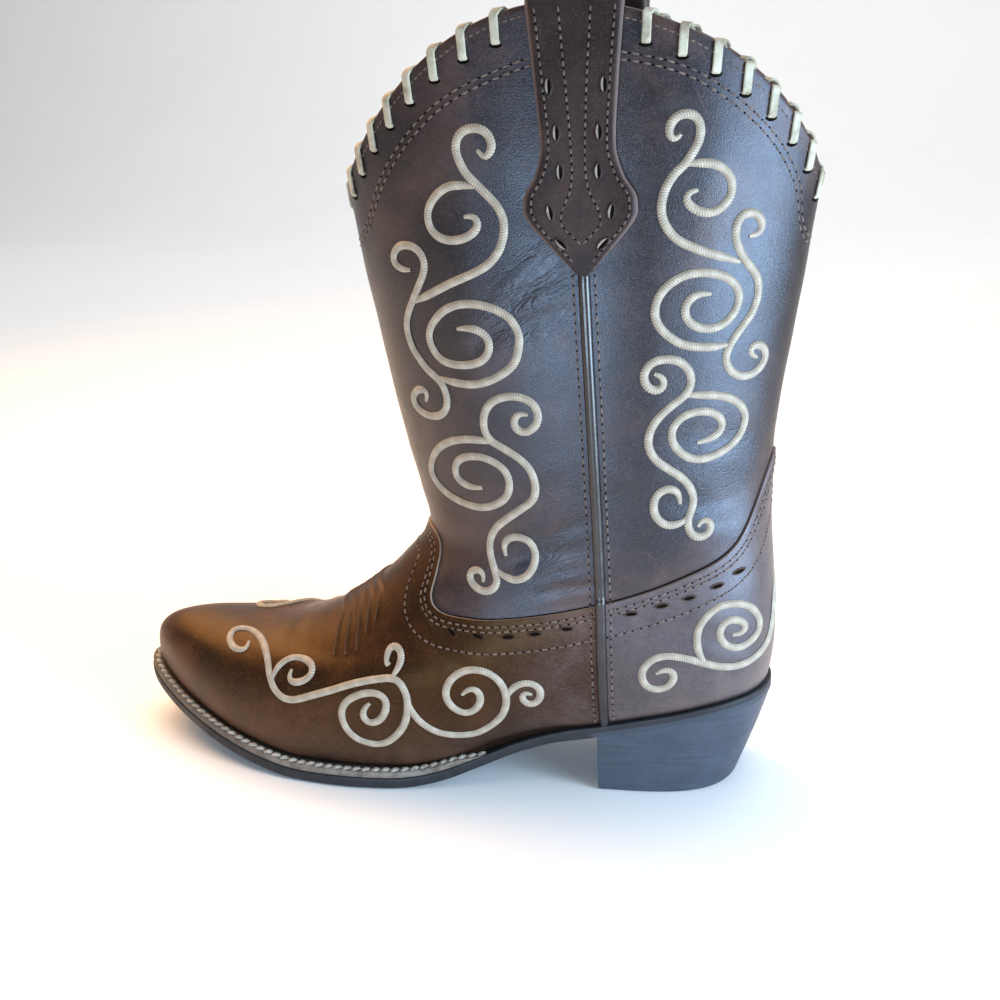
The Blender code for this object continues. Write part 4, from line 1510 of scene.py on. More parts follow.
class Finish:
    """A material under construction, with short ways to add its nodes."""

    def __init__(self, name):
        self.material = bpy.data.materials.new(name)
        self.material.use_nodes = True
        self.nodes = self.material.node_tree.nodes
        self.links = self.material.node_tree.links
        self.shader = self.nodes["Principled BSDF"]
        self.place = self.nodes.new("ShaderNodeTexCoord").outputs["Object"]

    def feed(self, socket, value):
        """Link a value to a socket, or set a constant on it."""
        if isinstance(value, bpy.types.NodeSocket):
            self.links.new(value, socket)
        else:
            socket.default_value = value

    def noise(self, scale, detail=4.0, rough=0.55, stretch=None, twist=0.0):
        """Cloudy noise; stretch is a turn in degrees and a scale for each axis."""
        node = self.nodes.new("ShaderNodeTexNoise")
        node.inputs["Scale"].default_value = scale
        node.inputs["Detail"].default_value = detail
        node.inputs["Roughness"].default_value = rough
        node.inputs["Distortion"].default_value = twist
        self.feed(node.inputs["Vector"], self.stretched(stretch) if stretch else self.place)
        return node.outputs["Fac"]

    def stretched(self, stretch):
        """Object coordinates, turned and stretched."""
        turn, scale = stretch
        node = self.nodes.new("ShaderNodeMapping")
        node.vector_type = "TEXTURE"
        node.inputs["Rotation"].default_value = [math.radians(v) for v in turn]
        node.inputs["Scale"].default_value = scale
        self.links.new(self.place, node.inputs["Vector"])
        return node.outputs["Vector"]

    def cells(self, scale):
        """Distance to the edge of grain cells."""
        node = self.nodes.new("ShaderNodeTexVoronoi")
        node.feature = "DISTANCE_TO_EDGE"
        node.inputs["Scale"].default_value = scale
        self.links.new(self.place, node.inputs["Vector"])
        return node.outputs["Distance"]

    def axis(self, letter):
        """Distance along an axis, in metres."""
        node = self.nodes.new("ShaderNodeSeparateXYZ")
        self.links.new(self.place, node.inputs["Vector"])
        return node.outputs[letter]

    def value(self, key):
        """A value that the mesh carries at its points."""
        node = self.nodes.new("ShaderNodeAttribute")
        node.attribute_name = key
        return node.outputs["Fac"]

    def span(self, value, low, high, to_low=0.0, to_high=1.0):
        """A value moved from one range to another, with soft ends."""
        node = self.nodes.new("ShaderNodeMapRange")
        node.interpolation_type = "SMOOTHSTEP"
        self.feed(node.inputs["Value"], value)
        for word, number in (("From Min", low), ("From Max", high), ("To Min", to_low), ("To Max", to_high)):
            node.inputs[word].default_value = number
        return node.outputs["Result"]

    def sums(self, kind, first, second=0.0):
        """Arithmetic on one value or two."""
        node = self.nodes.new("ShaderNodeMath")
        node.operation = kind
        self.feed(node.inputs[0], first)
        self.feed(node.inputs[1], second)
        return node.outputs[0]

    def blend(self, share, first, second):
        """A share of the way from the first colour to the second."""
        node = self.nodes.new("ShaderNodeMix")
        node.data_type = "RGBA"
        for place, value in zip(COLOUR_MIX_INPUTS, (share, first, second)):
            self.feed(node.inputs[place], value)
        return node.outputs[COLOUR_MIX_RESULT]

    def bumps(self, *layers):
        """Bumps one over another: height, strength, depth in millimetres."""
        normal = None
        for height, strength, depth in layers:
            node = self.nodes.new("ShaderNodeBump")
            node.inputs["Strength"].default_value = strength
            node.inputs["Distance"].default_value = depth * MM
            self.links.new(height, node.inputs["Height"])
            if normal:
                self.links.new(normal, node.inputs["Normal"])
            normal = node.outputs["Normal"]
        self.links.new(normal, self.shader.inputs["Normal"])

    def set(self, **values):
        """Feed the shader's sockets, named with underscores, and hand the material over."""
        for word, value in values.items():
            self.feed(self.shader.inputs[word.replace("_", " ")], value)
        return self.material


def oiled_leather(name, dark, warm, rubbed, cut, gleam, shine=0.5, dry=0.0, hazes_and_sheen=()):
    """Oiled brown leather: cloudy colour, fine grain, rubbed edges, scratches, hazes along an axis, some of
    them partly painted sheen.
    """
    f = Finish(name)
    cloud = f.noise(22.0, 5.0, 0.6, twist=0.4)
    mottle = f.noise(120.0, 6.0, 0.65)
    speck = f.noise(700.0, 3.0)
    nap = f.noise(1100.0, 4.0, 0.75)
    shade = f.sums("ADD", f.sums("MULTIPLY", cloud, 0.65), f.sums("MULTIPLY", mottle, 0.35))
    base = f.blend(f.span(shade, 0.36, 0.66), dark, warm)
    patch = f.span(f.sums("ADD", cloud, f.sums("MULTIPLY", f.value("wear"), 0.2)), 0.5, 0.82, 0.0, 0.8)
    base = f.blend(patch, base, rubbed)
    base = f.blend(f.span(nap, 0.52, 0.7, 0.0, 0.65), base, rubbed)
    base = f.blend(f.span(nap, 0.48, 0.28, 0.0, 0.7), base, dark)
    scratch = f.span(f.noise(42.0, 2.0, 0.5, ((20, 35, 25), (1.0, 1.0, 0.05)), 0.9), 0.7, 0.74, 0.0, 0.35)
    cross = f.span(f.noise(34.0, 2.0, 0.5, ((70, 10, 65), (1.0, 1.0, 0.04)), 0.9), 0.7, 0.74, 0.0, 0.35)
    base = f.blend(f.sums("MAXIMUM", scratch, cross), base, rubbed)
    drag = f.noise(520.0, 4.0, 0.65, ((10, 24, 0), (1.0, 1.0, 0.2)), 0.4)
    # Veils along an axis: darker, dusty, and on vamp and counter a grey one that is partly painted sheen.
    for tone, way, start, stop in hazes_and_sheen:
        veil = f.span(f.axis(way), start * MM, stop * MM, 0.0, 0.75)
        thick = f.sums("MULTIPLY", f.span(shade, 0.36, 0.64, 0.35, 1.0), f.span(drag, 0.34, 0.64, 0.3, 1.0))
        base = f.blend(f.sums("MULTIPLY", veil, thick), base, tone)
    wrinkle = f.noise(300.0, 2.0, 0.5, ((0, -34, 0), (4.0, 1.0, 1.0)), 0.7)
    line = f.span(f.sums("ABSOLUTE", f.sums("SUBTRACT", wrinkle, 0.5)), 0.0, 0.09, 1.0, 0.0)
    folds = f.sums("MULTIPLY", line, f.value("fold"))
    # Painted shade darkens the fine wrinkle lines round the creases.
    base = f.blend(f.sums("MULTIPLY", folds, 0.6), base, dark)
    base = f.blend(f.span(f.value("cut"), 0.3, 1.0, 0.0, 0.8), base, cut)
    # Painted shade: near black in the corners above the sole and above the vamp's edge
    base = f.blend(f.span(f.value("corner_shade"), 0.12, 0.8, 0.0, 0.92), base, colour(14, 10, 9))
    grain = f.span(f.cells(1250.0), 0.0, 0.25)
    pull = f.noise(420.0, 4.0, 0.6, ((0, -20, 0), (2.0, 1.0, 1.0)), 0.5)
    sunk = f.sums("MULTIPLY", folds, -1.0)
    f.bumps((sunk, 0.5, 0.22), (pull, 0.22, 0.22), (grain, 0.22, 0.14), (speck, 0.16, 0.14))
    gloss = f.span(f.sums("ADD", mottle, f.sums("MULTIPLY", patch, 0.3)), 0.35, 0.85, 0.35 + dry, 0.46 + dry)
    gloss = f.sums("ADD", gloss, f.span(nap, 0.3, 0.7, -0.03, 0.03))
    return f.set(Base_Color=base, Roughness=gloss, Specular_Tint=gleam, Specular_IOR_Level=shine)


def piping_leather(name):
    """Tight smooth leather of the side cords, glossier than the panels."""
    f = Finish(name)
    cloud = f.noise(90.0, 4.0)
    base = f.blend(f.span(cloud, 0.4, 0.7), colour(22, 15, 14), colour(38, 27, 25))
    f.bumps((f.noise(1400.0, 3.0), 0.14, 0.08))
    return f.set(Base_Color=base, Roughness=f.span(cloud, 0.35, 0.7, 0.24, 0.32), Specular_IOR_Level=0.7)


def wound_thread(name, tone, shade):
    """Embroidery thread: each turn a little lighter or darker, with painted shade between turns."""
    f = Finish(name)
    base = f.blend(f.span(f.value("tone"), 0.0, 1.0, 0.0, 0.22), tone, shade)
    # Painted shade in the grooves between the turns.
    base = f.blend(f.span(f.value("groove"), 0.25, 0.95, 0.0, 0.75), base, shade)
    dirt = f.noise(60.0, 4.0, 0.6)
    base = f.blend(f.span(dirt, 0.6, 0.8, 0.0, 0.18), base, shade)
    f.bumps((f.noise(3800.0, 2.0), 0.25, 0.1))
    return f.set(Base_Color=base, Roughness=0.5, Sheen_Weight=0.15)


def plain_thread(name, tone, shade):
    """Sewing thread in rows."""
    f = Finish(name)
    base = f.blend(f.span(f.noise(500.0, 3.0), 0.35, 0.7), tone, shade)
    f.bumps((f.noise(4200.0, 2.0), 0.3, 0.1))
    return f.set(Base_Color=base, Roughness=0.58, Sheen_Weight=0.1)


def cream_thong(name):
    """Flat leather thong, creamy, a little soiled."""
    f = Finish(name)
    soil = f.noise(160.0, 5.0, 0.6)
    base = f.blend(f.span(soil, 0.4, 0.72), colour(182, 175, 154), colour(132, 120, 98))
    f.bumps((f.noise(900.0, 4.0), 0.3, 0.15), (f.cells(1500.0), 0.15, 0.1))
    return f.set(Base_Color=base, Roughness=0.55)


# Where the welt's soil starts and is whole, and the fade of the heel's colour in front of its breast: X
WELT_SOIL = (-140.0, -205.0)
SEAT_FADE = 4.0


def tan_welt(name):
    """Pale streaky welt, soiled at the toe, with painted shade in the groove under its stitches."""
    f = Finish(name)
    streak = f.noise(220.0, 5.0, 0.65)
    base = f.blend(f.span(streak, 0.36, 0.68), colour(128, 118, 108), colour(88, 78, 70))
    base = f.blend(f.span(f.noise(60.0, 4.0), 0.52, 0.75, 0.0, 0.6), base, colour(142, 135, 128))
    soil_from, soil_whole = WELT_SOIL
    base = f.blend(f.span(f.axis("X"), soil_from * MM, soil_whole * MM, 0.0, 0.6), base, colour(66, 57, 51))
    # Painted shade in the groove under the stitches and in the corner by the upper.
    base = f.blend(f.span(f.value("groove"), 0.1, 0.9, 0.0, 0.92), base, colour(36, 28, 24))
    f.bumps((streak, 0.4, 0.3), (f.noise(1500.0, 3.0), 0.2, 0.12))
    return f.set(Base_Color=base, Roughness=0.6)


def slate_sole(name, tone, shade, layers, seat=None):
    """Dark sole edge or heel with faint level streaks; over the heel its lower half is seat-coloured."""
    f = Finish(name)
    streak = f.noise(34.0, 5.0, 0.6, ((0, 0, 0), (1.0, 1.0, 0.045)))
    scuff = f.noise(70.0, 6.0, 0.7)
    mixed = f.sums("ADD", f.sums("MULTIPLY", streak, 0.5), f.sums("MULTIPLY", scuff, 0.5))
    base = f.blend(f.span(mixed, 0.38, 0.66), tone, shade)
    if seat:
        breast = HEEL_CENTRE - BREAST
        behind = f.span(f.axis("X"), (breast - SEAT_FADE) * MM, breast * MM)
        base = f.blend(f.sums("MULTIPLY", behind, f.span(f.value("layer"), 0.35, 0.55, 1.0, 0.0)), base, seat)
    base = f.blend(f.span(scuff, 0.6, 0.78, 0.0, 0.25), base, colour(112, 110, 108))
    f.bumps((streak, 0.25, layers), (f.noise(1300.0, 3.0), 0.2, 0.12))
    return f.set(Base_Color=base, Roughness=f.span(scuff, 0.3, 0.75, 0.42, 0.64), Specular_IOR_Level=0.4)


def lining_leather(name):
    """Plain tan lining."""
    f = Finish(name)
    cloud = f.noise(30.0, 5.0, 0.6)
    base = f.blend(f.span(cloud, 0.35, 0.68), colour(126, 88, 54), colour(92, 60, 36))
    f.bumps((f.noise(900.0, 4.0), 0.25, 0.2), (f.cells(1100.0), 0.15, 0.1))
    return f.set(Base_Color=base, Roughness=0.62)


def painted_shade_black(name):
    """Painted shade: near black without gloss, in holes and in the strip along the cut edge."""
    f = Finish(name)
    base = f.blend(f.noise(400.0), colour(8, 6, 5), colour(20, 14, 12))
    return f.set(Base_Color=base, Roughness=0.9, Specular_IOR_Level=0.05)


def pale_floor(name):
    """White paper floor."""
    f = Finish(name)
    base = f.blend(f.noise(6.0, 3.0), colour(250, 250, 250), colour(244, 244, 245))
    return f.set(Base_Color=base, Roughness=0.7)


CHOCOLATE = oiled_leather(
    "chocolate_leather",
    dark=colour(25, 18, 16),
    warm=colour(43, 30, 26),
    rubbed=colour(84, 60, 49),
    cut=colour(84, 62, 50),
    gleam=colour(222, 233, 253),
    shine=0.66,
    dry=-0.04,
)
VAMP_BROWN = oiled_leather(
    "vamp_leather",
    dark=colour(26, 16, 11),
    warm=colour(56, 31, 16),
    rubbed=colour(100, 61, 33),
    cut=colour(152, 136, 124),
    gleam=colour(255, 198, 134),
    shine=0.36,
    hazes_and_sheen=(
        (colour(20, 13, 10), "X", -145.0, -85.0),
        # Pale grey veil over the vamp's back: partly dusty haze, partly painted sheen.
        (colour(104, 92, 94), "X", -80.0, -20.0),
        (colour(76, 61, 54), "Z", 50.0, 8.0),
    ),
)
COUNTER_BROWN = oiled_leather(
    "counter_leather",
    dark=colour(34, 23, 19),
    warm=colour(60, 43, 36),
    rubbed=colour(96, 72, 62),
    cut=colour(110, 90, 80),
    gleam=colour(226, 232, 252),
    shine=0.95,
    dry=-0.06,
    # The grey veil towards the heel is partly dusty haze, partly painted sheen; the lower one is dust.
    hazes_and_sheen=((colour(92, 80, 79), "X", -50.0, 10.0), (colour(96, 78, 66), "Z", 75.0, 40.0)),
)
PIPING_BROWN = piping_leather("piping_leather")
STRAP_BROWN = oiled_leather(
    "strap_leather",
    dark=colour(30, 22, 20),
    warm=colour(50, 36, 32),
    rubbed=colour(80, 60, 52),
    cut=colour(112, 96, 90),
    gleam=colour(240, 236, 240),
    shine=0.2,
    dry=0.08,
)
CREAM_THREAD = wound_thread("cream_thread", colour(177, 163, 144), colour(84, 69, 55))
TAN_THREAD = plain_thread("tan_thread", colour(112, 92, 79), colour(70, 53, 45))
FLEX_THREAD = plain_thread("flex_thread", colour(96, 62, 34), colour(58, 37, 21))
WELT_THREAD = plain_thread("welt_thread", colour(178, 170, 158), colour(132, 121, 110))
STRAP_THREAD = plain_thread("strap_thread", colour(94, 77, 68), colour(60, 46, 40))
# Pale cut face of the strap's slits: cut-leather colour, set on one side only, partly a painted highlight.
PALE_CUT_AND_HIGHLIGHT = plain_thread("cut_face_and_highlight", colour(138, 121, 110), colour(98, 82, 73))
THONG = cream_thong("cream_thong")
WELT_TAN = tan_welt("welt_tan")
SOLE_SLATE = slate_sole("sole_slate", colour(33, 35, 40), colour(22, 23, 27), 0.2, seat=colour(52, 58, 69))
HEEL_SLATE = slate_sole("heel_slate", colour(64, 70, 82), colour(51, 56, 66), 0.2)
LINING = lining_leather("lining_leather")
SHADE_BLACK = painted_shade_black("painted_shade_black")


def make_upper():
    """Panels and lining, pipings and straps in place of their solids, and strips of painted shade along the
    cut edge.
    """
    dress(foot_panel("vamp", True, VAMP_GRID, VAMP_BROWN), "upper", "upper")
    dress(foot_panel("counter", False, COUNTER_GRID, COUNTER_BROWN), "upper", "upper")
    dress(shaft_panel("shaft_front", True, CHOCOLATE), "upper", "upper")
    dress(shaft_panel("shaft_back", False, CHOCOLATE), "upper", "upper")
    dress(lining_piece(LINING), "upper", "upper")
    for side, word in ((1, "outer"), (-1, "inner")):
        # a strip of painted shade along the cut edge
        dress(shade_strip_piece(f"edge_gap_{word}", side, SHADE_BLACK), "upper")
        dress(piping_piece(side, PIPING_BROWN), "piping", f"side_piping_{word}")
        dress(strap_piece(side, STRAP_BROWN), "strap", f"pull_strap_{word}")


def make_sole():
    """Outsole, heel, welt and insole in place of their solids."""
    dress(outsole_piece(SOLE_SLATE), "outsole", "outsole")
    dress(heel_piece(HEEL_SLATE), "heel", "heel")
    dress(welt_piece(WELT_TAN), "welt", "welt")
    dress(insole_piece(LINING), "insole", "insole")


def counter_line(tree):
    """The counter's long scroll, carried on round the back."""
    seen = under_picture(tree, drawn(COUNTER_SCROLL))
    back = np.array(COUNTER_BACK) * (math.radians(1.0), 1.0)
    knots = np.concatenate([seen[-1:], back])
    share = np.linspace(0.0, len(back), BACK_POINTS)[1:]
    hidden = np.stack([np.interp(share, np.arange(len(knots)), knots[:, k]) for k in range(2)], axis=1)
    return soften(np.concatenate([seen, hidden]), BACK_SMOOTH)


def make_embroidery(tree):
    """Scrolls on the outer side, and the same turned round for the inner side."""
    for name, scrolls in (("shaft_scrolls", SCROLLS_SHAFT), ("foot_scrolls", SCROLLS_FOOT)):
        lines = [soften(under_picture(tree, drawn(scroll)), SCROLL_SMOOTH) for scroll in scrolls]
        if scrolls is SCROLLS_FOOT:
            lines.append(counter_line(tree))
        for side, word in ((1, "outer"), (-1, "inner")):
            blocks = []
            for line in lines:
                turn, level = line[:, 0] * side, line[:, 1]
                size = (CORD_WIDTH, CORD_HEIGHT, CORD_PITCH, CORD_STEP, CORD_SINK, CORD_TAPER)
                blocks.append(cord_block(turn, level, *size))
            dress(mesh_piece(f"{name}_{word}", blocks, CREAM_THREAD), "upper")


def make_flex_ridges(tree):
    """Stitched ridges over the vamp, where it bends."""
    blocks, rows = [], []
    for ridge in FLEX_RIDGES:
        line = under_picture(tree, drawn(ridge))
        turn, level = soften(np.concatenate([line[::-1] * (-1, 1), line]), FLEX_SMOOTH).T
        size = (FLEX_WIDTH, FLEX_HEIGHT, 0.0, FLEX_STEP, FLEX_SINK, FLEX_TAPER)
        points, faces, _ = cord_block(turn, level, *size)
        blocks.append((points, faces, {"wear": np.full(points.shape[:2], FLEX_WEAR)}))
        rows.append(row_places(turn, level, FLEX_HEIGHT - FLEX_BED, FLEX_STITCH[0]))
    dress(mesh_piece("flex_ridges", blocks, VAMP_BROWN), "upper")
    return rows


def between(places):
    """Places half a stitch on, where the needle went in."""
    points, along, up = places
    return tuple((values[1:] + values[:-1]) / 2 for values in (points, along, up))


def edge_slit_places(net):
    """The slits below the vamp's and counter's edge: middles, directions and normals, for each side."""
    across, down, rise = np.array(EDGE_SLITS, float).T
    lean = np.radians(rise)
    ends = [
        under_picture(net, np.stack([across + end * np.cos(lean), down - end * np.sin(lean)], axis=1))
        for end in (-EDGE_SLIT_HALF, EDGE_SLIT_HALF)
    ]
    turn, level = (ends[0] + ends[1]).T / 2
    places = []
    for side in (1, -1):
        first, last = (leather(side * end[:, 0], end[:, 1], 0.0) for end in ends)
        middle = leather(side * turn, level, SLIT_LIFT)
        places.append((middle, unit(last - first), outward(side * turn, level)))
    return places


def leather_row(line, turn, distance, pitch):
    """Stitch places of a row a distance below the edge or the rim."""
    return row_places(*inset_row(turn, line, distance), THREAD_LIFT, pitch)


def seam_rows(side):
    """Rows below the vamp's and counter's edge, and beside the side seam's piping."""
    turn = side * np.radians(np.linspace(ROW_START, 180.0, ROW_POINTS))
    rows = [leather_row(edge_at, turn, np.full(ROW_POINTS, depth), SEAM_STITCH[0]) for depth in EDGE_ROWS]
    top = float(level_of_height(side * np.pi / 2, HUMP - TAIL + SEAM_ROW_UNDER))
    level = np.linspace(SEAM_ROW_START, top, SEAM_POINTS)
    for off in SEAM_ROWS:
        beside = strip_turn(seam_turn(level, side), level, off)
        rows.append(row_places(beside, level, THREAD_LIFT, SEAM_STITCH[0]))
    return rows


def collar_rows(side):
    """The double row that follows the scallop, and the single row close to the rim."""
    turn = side * np.radians(np.linspace(ROW_START, 180.0, ROW_POINTS))
    depth = smooth_curve(DOUBLE_ROW, side_degrees(turn))
    double = [leather_row(rim_at, turn, depth + extra, RIM_STITCH[0]) for extra in (0.0, DOUBLE_GAP)]
    return double, leather_row(rim_at, turn, np.full(ROW_POINTS, RIM_ROW), EDGE_STITCH[0])


def strap_rows(side):
    """Rows along the strap's edges and its middle, and the slits between them."""
    up = np.linspace(STRAP_ROW_START, TAIL - STRAP_ROW_END, STRAP_POINTS)
    outer = np.maximum(smooth_curve(STRAP_WIDTHS, up) / 2 - STRAP_EDGE_ROW, 0.0)
    inner_up = np.linspace(STRAP_INNER_ROW[0][0], TAIL - STRAP_ROW_END, STRAP_POINTS)
    inner = smooth_curve(STRAP_INNER_ROW, inner_up)
    rows, cuts = [], []
    ends = np.array([-STRAP_SLIT_HALF, STRAP_SLIT_HALF])
    for hand in (-1, 1):
        rows.append(set_along(*strap_places(side, up, hand * outer, THREAD_LIFT), STRAP_STITCH[0]))
        rows.append(set_along(*strap_places(side, inner_up, hand * inner, THREAD_LIFT), STRAP_STITCH[0]))
        for high, off, slope in STRAP_SLITS:
            lean = math.radians(slope)
            cut = strap_places(side, high + ends * math.sin(lean), hand * (off + ends * math.cos(lean)), 0.0)
            cuts.append(set_along(*cut, 2 * STRAP_SLIT_HALF))
    return rows, cuts


def welt_row():
    """The welt's stitches, each slanted across the row."""
    row = welt_point(*welt_lines(), WELT_ROW, WELT_ROW_UP)
    points, along, up = set_along(row, np.broadcast_to((0.0, 0.0, 1.0), row.shape), WELT_STITCH[0])
    slant = math.radians(WELT_SLANT)
    return points, along * math.cos(slant) + np.cross(up, along) * math.sin(slant), up


def make_thread_rows(tree, names, net, flex):
    """Every row of sewing, the slits and the welt's stitches."""
    thread = stitch_unit()
    hole, lip, flesh = slit_units()
    slits = edge_slit_places(net)
    seams, rims, edges, straps, strap_cuts = [], [], [], [], []
    for side in (1, -1):
        seams += seam_rows(side)
        double, single = collar_rows(side)
        rims += double
        edges.append(single)
        rows, cuts = strap_rows(side)
        straps += rows
        strap_cuts += cuts
    for name, rows, stitch, finish, slot in (
        ("seam_thread", seams, SEAM_STITCH, TAN_THREAD, "upper"),
        ("flex_thread", flex, FLEX_STITCH, FLEX_THREAD, "upper"),
        ("collar_thread", rims, RIM_STITCH, TAN_THREAD, "upper"),
        ("rim_thread", edges, EDGE_STITCH, TAN_THREAD, "upper"),
        ("strap_thread", straps, STRAP_STITCH, STRAP_THREAD, "strap"),
        ("welt_thread", [welt_row()], WELT_STITCH, WELT_THREAD, "welt"),
    ):
        dress(set_on_rows(name, tree, names, thread, rows, stitch[1:], finish), slot)
    pricks = [between(places) for places in seams + rims + straps]
    # Dark dishes of painted shade where the needle went in.
    dress(set_on_rows("needle_holes", tree, names, hole, pricks, NEEDLE_HOLE, SHADE_BLACK), "upper")
    for name, rows, size, slot, leather_tone in (
        ("edge_slit", slits, EDGE_SLIT, "upper", VAMP_BROWN),
        ("strap_slit", strap_cuts, STRAP_SLIT, "strap", STRAP_BROWN),
    ):
        # The slits' holes are dark with painted shade.
        dress(set_on_rows(f"{name}_holes", tree, names, hole, rows, size, SHADE_BLACK), slot)
        dress(set_on_rows(f"{name}_lips", tree, names, lip, rows, size, leather_tone), slot)
    # Pale cut faces on one side of the strap's slits, partly a painted highlight.
    dress(set_on_rows("strap_slit_faces", tree, names, flesh, strap_cuts, STRAP_SLIT, PALE_CUT_AND_HIGHLIGHT), "strap")
    return thread, hole, lip, flesh


# Thong section: shares of its width and thickness
THONG_SECTION = np.array(
    ((-0.5, 0.0), (-0.46, -0.4), (-0.3, -0.5), (0.3, -0.5), (0.46, -0.4), (0.5, 0.0), (0.46, 0.4), (0.3, 0.5),
     (-0.3, 0.5), (-0.46, 0.4))
)


def rim_places():
    """Turns at even distances round the rim."""
    turn = np.linspace(-np.pi, np.pi, RIM_POINTS)
    run = run_length(last_point(turn, rim_at(turn)))
    count = int(round(run[-1] / LACE_PITCH))
    return np.interp((np.arange(count) + 0.5) * run[-1] / count, run, turn)


def lace_foot(turn, leg):
    """Where a thong that leaves the rim at a turn goes into the leather."""
    turn = np.asarray(turn, float)
    rim = rim_at(turn)
    normal = outward(turn, rim)
    before, after = turn - LACE_STEP, turn + LACE_STEP
    along = unit(last_point(after, rim_at(after)) - last_point(before, rim_at(before)))
    across = np.cross(along, normal)
    across = across * np.where(across[..., 2:] < 0, 1.0, -1.0)
    plumb = np.array([0.0, 0.0, -1.0]) + normal * normal[..., 2:]
    way = unit(unit(plumb) * (1 - LACE_LEAN) + across * LACE_LEAN)
    return walk(turn, rim, way * leg)


def under_strap(turn):
    """Whether a place on the rim lies under a strap."""
    seam = float(seam_turn(LACE_SEAM_LEVEL, 1))
    stretch = last_point(turn + LACE_STEP, LACE_RIM_LEVEL) - last_point(turn, LACE_RIM_LEVEL)
    off = abs(abs(turn) - seam) * float(np.linalg.norm(stretch)) / LACE_STEP
    return off < STRAP_WIDTHS[-1][1] / 2 + LACE_CLEAR


def outer_leg(turn, foot_turn, foot_level):
    """The thong's points and normals from its hole up to the rim."""
    share = np.linspace(1.0, 0.0, LEG_POINTS)
    leg_turn = turn + (foot_turn - turn) * share
    leg_level = rim_at(turn) + (foot_level - rim_at(turn)) * share
    lift = LACE_THICK / 2 + LACE_SLACK - LACE_SINK_OUT * ease(share, LACE_SINK_FROM, 1.0)
    return leather(leg_turn, leg_level, lift), outward(leg_turn, leg_level)


def over_rim(turn, step):
    """The thong's points and normals over the rim, moving on by a step of turn."""
    angle = np.radians(np.linspace(*BEND_ANGLES, BEND_POINTS))
    top_turn = turn + step * np.linspace(BEND_START, 1.0, BEND_POINTS)
    top_level = rim_at(top_turn)
    round_over = WALL / 2 + LACE_THICK / 2 + LACE_SLACK
    out = outward(top_turn, top_level)
    rise = np.array([0.0, 0.0, 1.0])
    points = (
        last_point(top_turn, top_level)
        + out * (round_over * np.cos(angle) - WALL / 2)[:, None]
        + rise * (round_over * np.sin(angle) * LACE_FLAT)[:, None]
    )
    return points, out * np.cos(angle)[:, None] + rise * np.sin(angle)[:, None]


def inner_leg(turn, foot_turn, foot_level):
    """The thong's points and normals from the rim down inside to the next hole."""
    share = np.linspace(0.0, 1.0, LEG_POINTS)
    leg_turn = turn + (foot_turn - turn) * share
    leg_level = rim_at(turn) + (foot_level - rim_at(turn)) * share
    depth = -WALL - LACE_THICK / 2 - LACE_SLACK + LACE_SINK_IN * ease(share, LACE_SINK_FROM, 1.0)
    return skin(leg_turn, leg_level, depth), -outward(leg_turn, leg_level)


def thong_block(points, normals):
    """A closed strip of the thong's section along its points."""
    along = unit(np.gradient(points, axis=0))
    side = unit(np.cross(normals, along))
    normals = np.cross(along, side)
    section = THONG_SECTION * (LACE_WIDTH, LACE_THICK)
    loops = points[:, None] + side[:, None] * section[:, :1] + normals[:, None] * section[:, 1:]
    return (*tube(loops), {})


def make_lacing(tree, names, hole):
    """A flat thong whipped over the rim between the straps, each outer leg ending in a hole."""
    turns = rim_places()
    foot_turn, foot_level = lace_foot(turns, LACE_LEG)
    inside_turn, inside_level = lace_foot(turns, LACE_LEG * LACE_INNER)
    blocks, holes = [], []
    for i, turn in enumerate(turns):
        if under_strap(turn):
            continue
        after = (i + 1) % len(turns)
        next_turn = inside_turn[after] + (2 * np.pi if after == 0 else 0.0)
        step = (next_turn - turn) * LACE_CROSS
        stretches = (
            outer_leg(turn, foot_turn[i], foot_level[i]),
            over_rim(turn, step),
            inner_leg(turn + step, next_turn, inside_level[after]),
        )
        blocks.append(thong_block(*(np.concatenate(values) for values in zip(*stretches))))
        ends = np.array([foot_turn[i] - LACE_STEP, foot_turn[i] + LACE_STEP])
        holes.append(set_along(leather(ends, foot_level[i], 0.0), outward(ends, foot_level[i]), LACE_HOLE[0]))
    dress(mesh_piece("rim_thong", blocks, THONG), "strap")
    # The thong's holes are dark with painted shade.
    dress(set_on_rows("rim_thong_holes", tree, names, hole, holes, LACE_HOLE, SHADE_BLACK), "upper")


def lamp(name, place, aim, size, power, tint):
    """A soft rectangular light."""
    light = bpy.data.lights.new(name, "AREA")
    light.shape = "RECTANGLE"
    light.size, light.size_y = size
    light.energy = power
    light.color = tint
    thing = link(bpy.data.objects.new(name, light))
    thing.location = place
    thing.rotation_euler = (Vector(aim) - Vector(place)).to_track_quat("-Z", "Y").to_euler()


# Floor: front end, where it bends up, the bend, its rows, top, half its width, drop under the boot
FLOOR_FRONT = -3000.0
FLOOR_BACK = 1700.0
FLOOR_BEND = 700.0
FLOOR_ROWS = 16
FLOOR_TOP = 2600.0
FLOOR_HALF = 4000.0
FLOOR_DROP = 0.4

# Tints of the lamps, and the sky's strength
DAYLIGHT = (0.55, 0.77, 1.0)
AMBER = (1.0, 0.52, 0.17)
SOFT_WHITE = (1.0, 0.99, 0.97)
WHITE = (1.0, 1.0, 1.0)
SKY_STRENGTH = 0.26

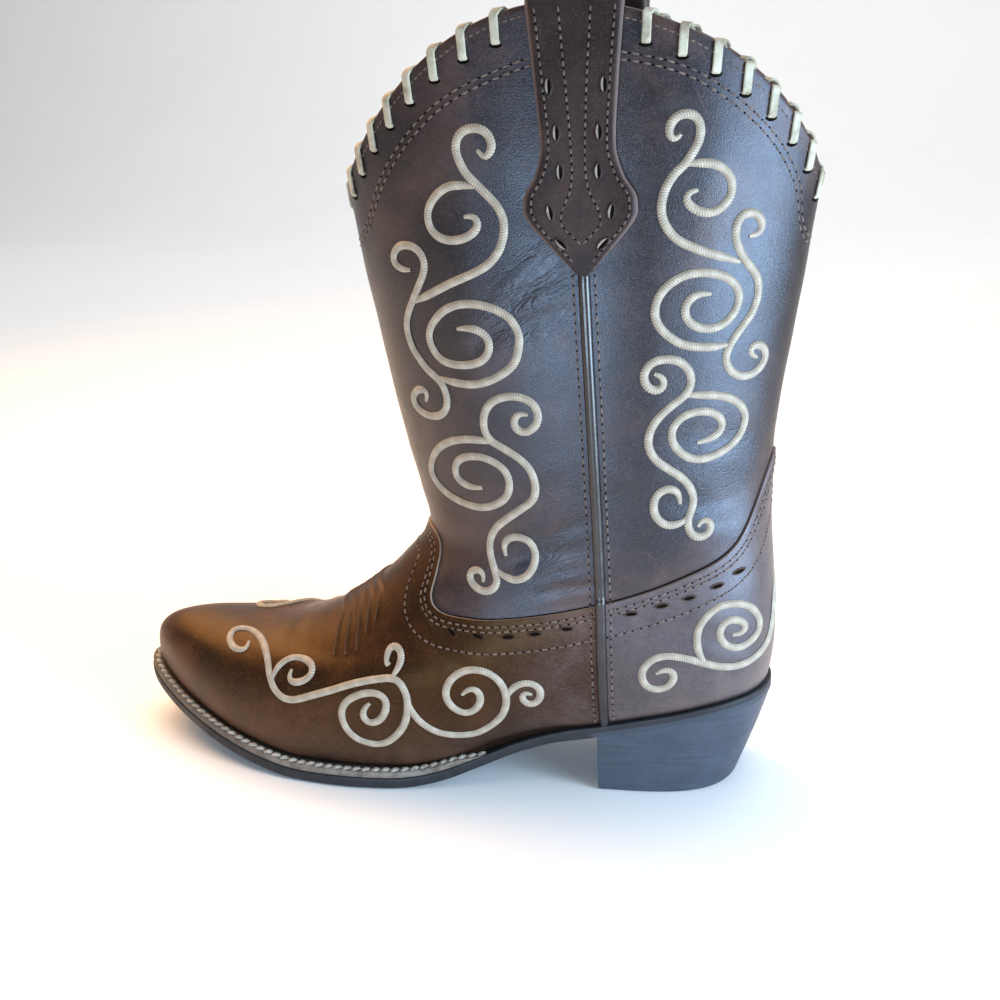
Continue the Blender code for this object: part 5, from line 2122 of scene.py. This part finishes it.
# Lamps: name, place and aim in metres, width and height in metres, watts, tint
LAMPS = (
    ("window_high", (0.42, -0.2, 0.34), (-0.03, -0.05, 0.28), (0.12, 0.2), 1.2, DAYLIGHT),
    ("window_right", (0.45, -0.24, 0.11), (0.02, -0.03, 0.16), (0.34, 0.2), 4.0, DAYLIGHT),
    ("window_front", (-0.12, -0.5, 0.11), (-0.04, -0.04, 0.18), (0.22, 0.12), 1.4, DAYLIGHT),
    ("lamp_left", (-0.55, 0.25, 0.6), (-0.16, 0.0, 0.06), (0.6, 0.6), 6.2, AMBER),
    ("top_soft", (0.0, 0.3, 1.9), (0.0, 0.3, 0.0), (2.4, 2.4), 20.0, SOFT_WHITE),
    ("back_soft", (0.0, 0.9, 2.3), (0.0, 2.4, 0.9), (2.0, 0.8), 26.0, WHITE),
)


def make_stage():
    """Pale floor, cool light from the right, warm light from the toe's side, and the picture's camera."""
    bend = np.radians(np.linspace(0, 90, FLOOR_ROWS))
    curve = zip(FLOOR_BACK + FLOOR_BEND * np.sin(bend), FLOOR_BEND * (1 - np.cos(bend)))
    line = [(FLOOR_FRONT, 0.0), *curve, (FLOOR_BACK + FLOOR_BEND, FLOOR_TOP)]
    rows = np.array([[(x, y, z - FLOOR_DROP) for x in (-FLOOR_HALF, FLOOR_HALF)] for y, z in line])
    mesh_piece("floor", [(rows, quads(len(line), 2), {})], pale_floor("pale_floor"))
    for row in LAMPS:
        lamp(*row)
    world = bpy.data.worlds.new("studio")
    world.use_nodes = True
    sky = world.node_tree.nodes["Background"]
    sky.inputs["Color"].default_value = (1.0, 1.0, 1.0, 1.0)
    sky.inputs["Strength"].default_value = SKY_STRENGTH
    bpy.context.scene.world = world
    bpy.context.scene.view_settings.view_transform = "Standard"
    camera = bpy.data.cameras.new("camera")
    camera.lens = LENS
    camera.sensor_width = SENSOR
    camera.clip_start = CLIP_START
    seen = link(bpy.data.objects.new("camera", camera))
    right, up, ahead = camera_axes()
    turned = Matrix((right, up, -ahead)).transposed().to_4x4()
    turned.translation = Vector(EYE)
    seen.matrix_world = turned
    bpy.context.scene.camera = seen


def main():
    make_upper()
    make_sole()
    net = casting_tree(CAST_TURNS, CAST_LEVELS)
    make_embroidery(net)
    flex = make_flex_ridges(net)
    tree, names = rows_tree()
    units = make_thread_rows(tree, names, net, flex)
    make_lacing(tree, names, units[1])
    for thing in units:
        bpy.data.objects.remove(thing)
    make_stage()


main()
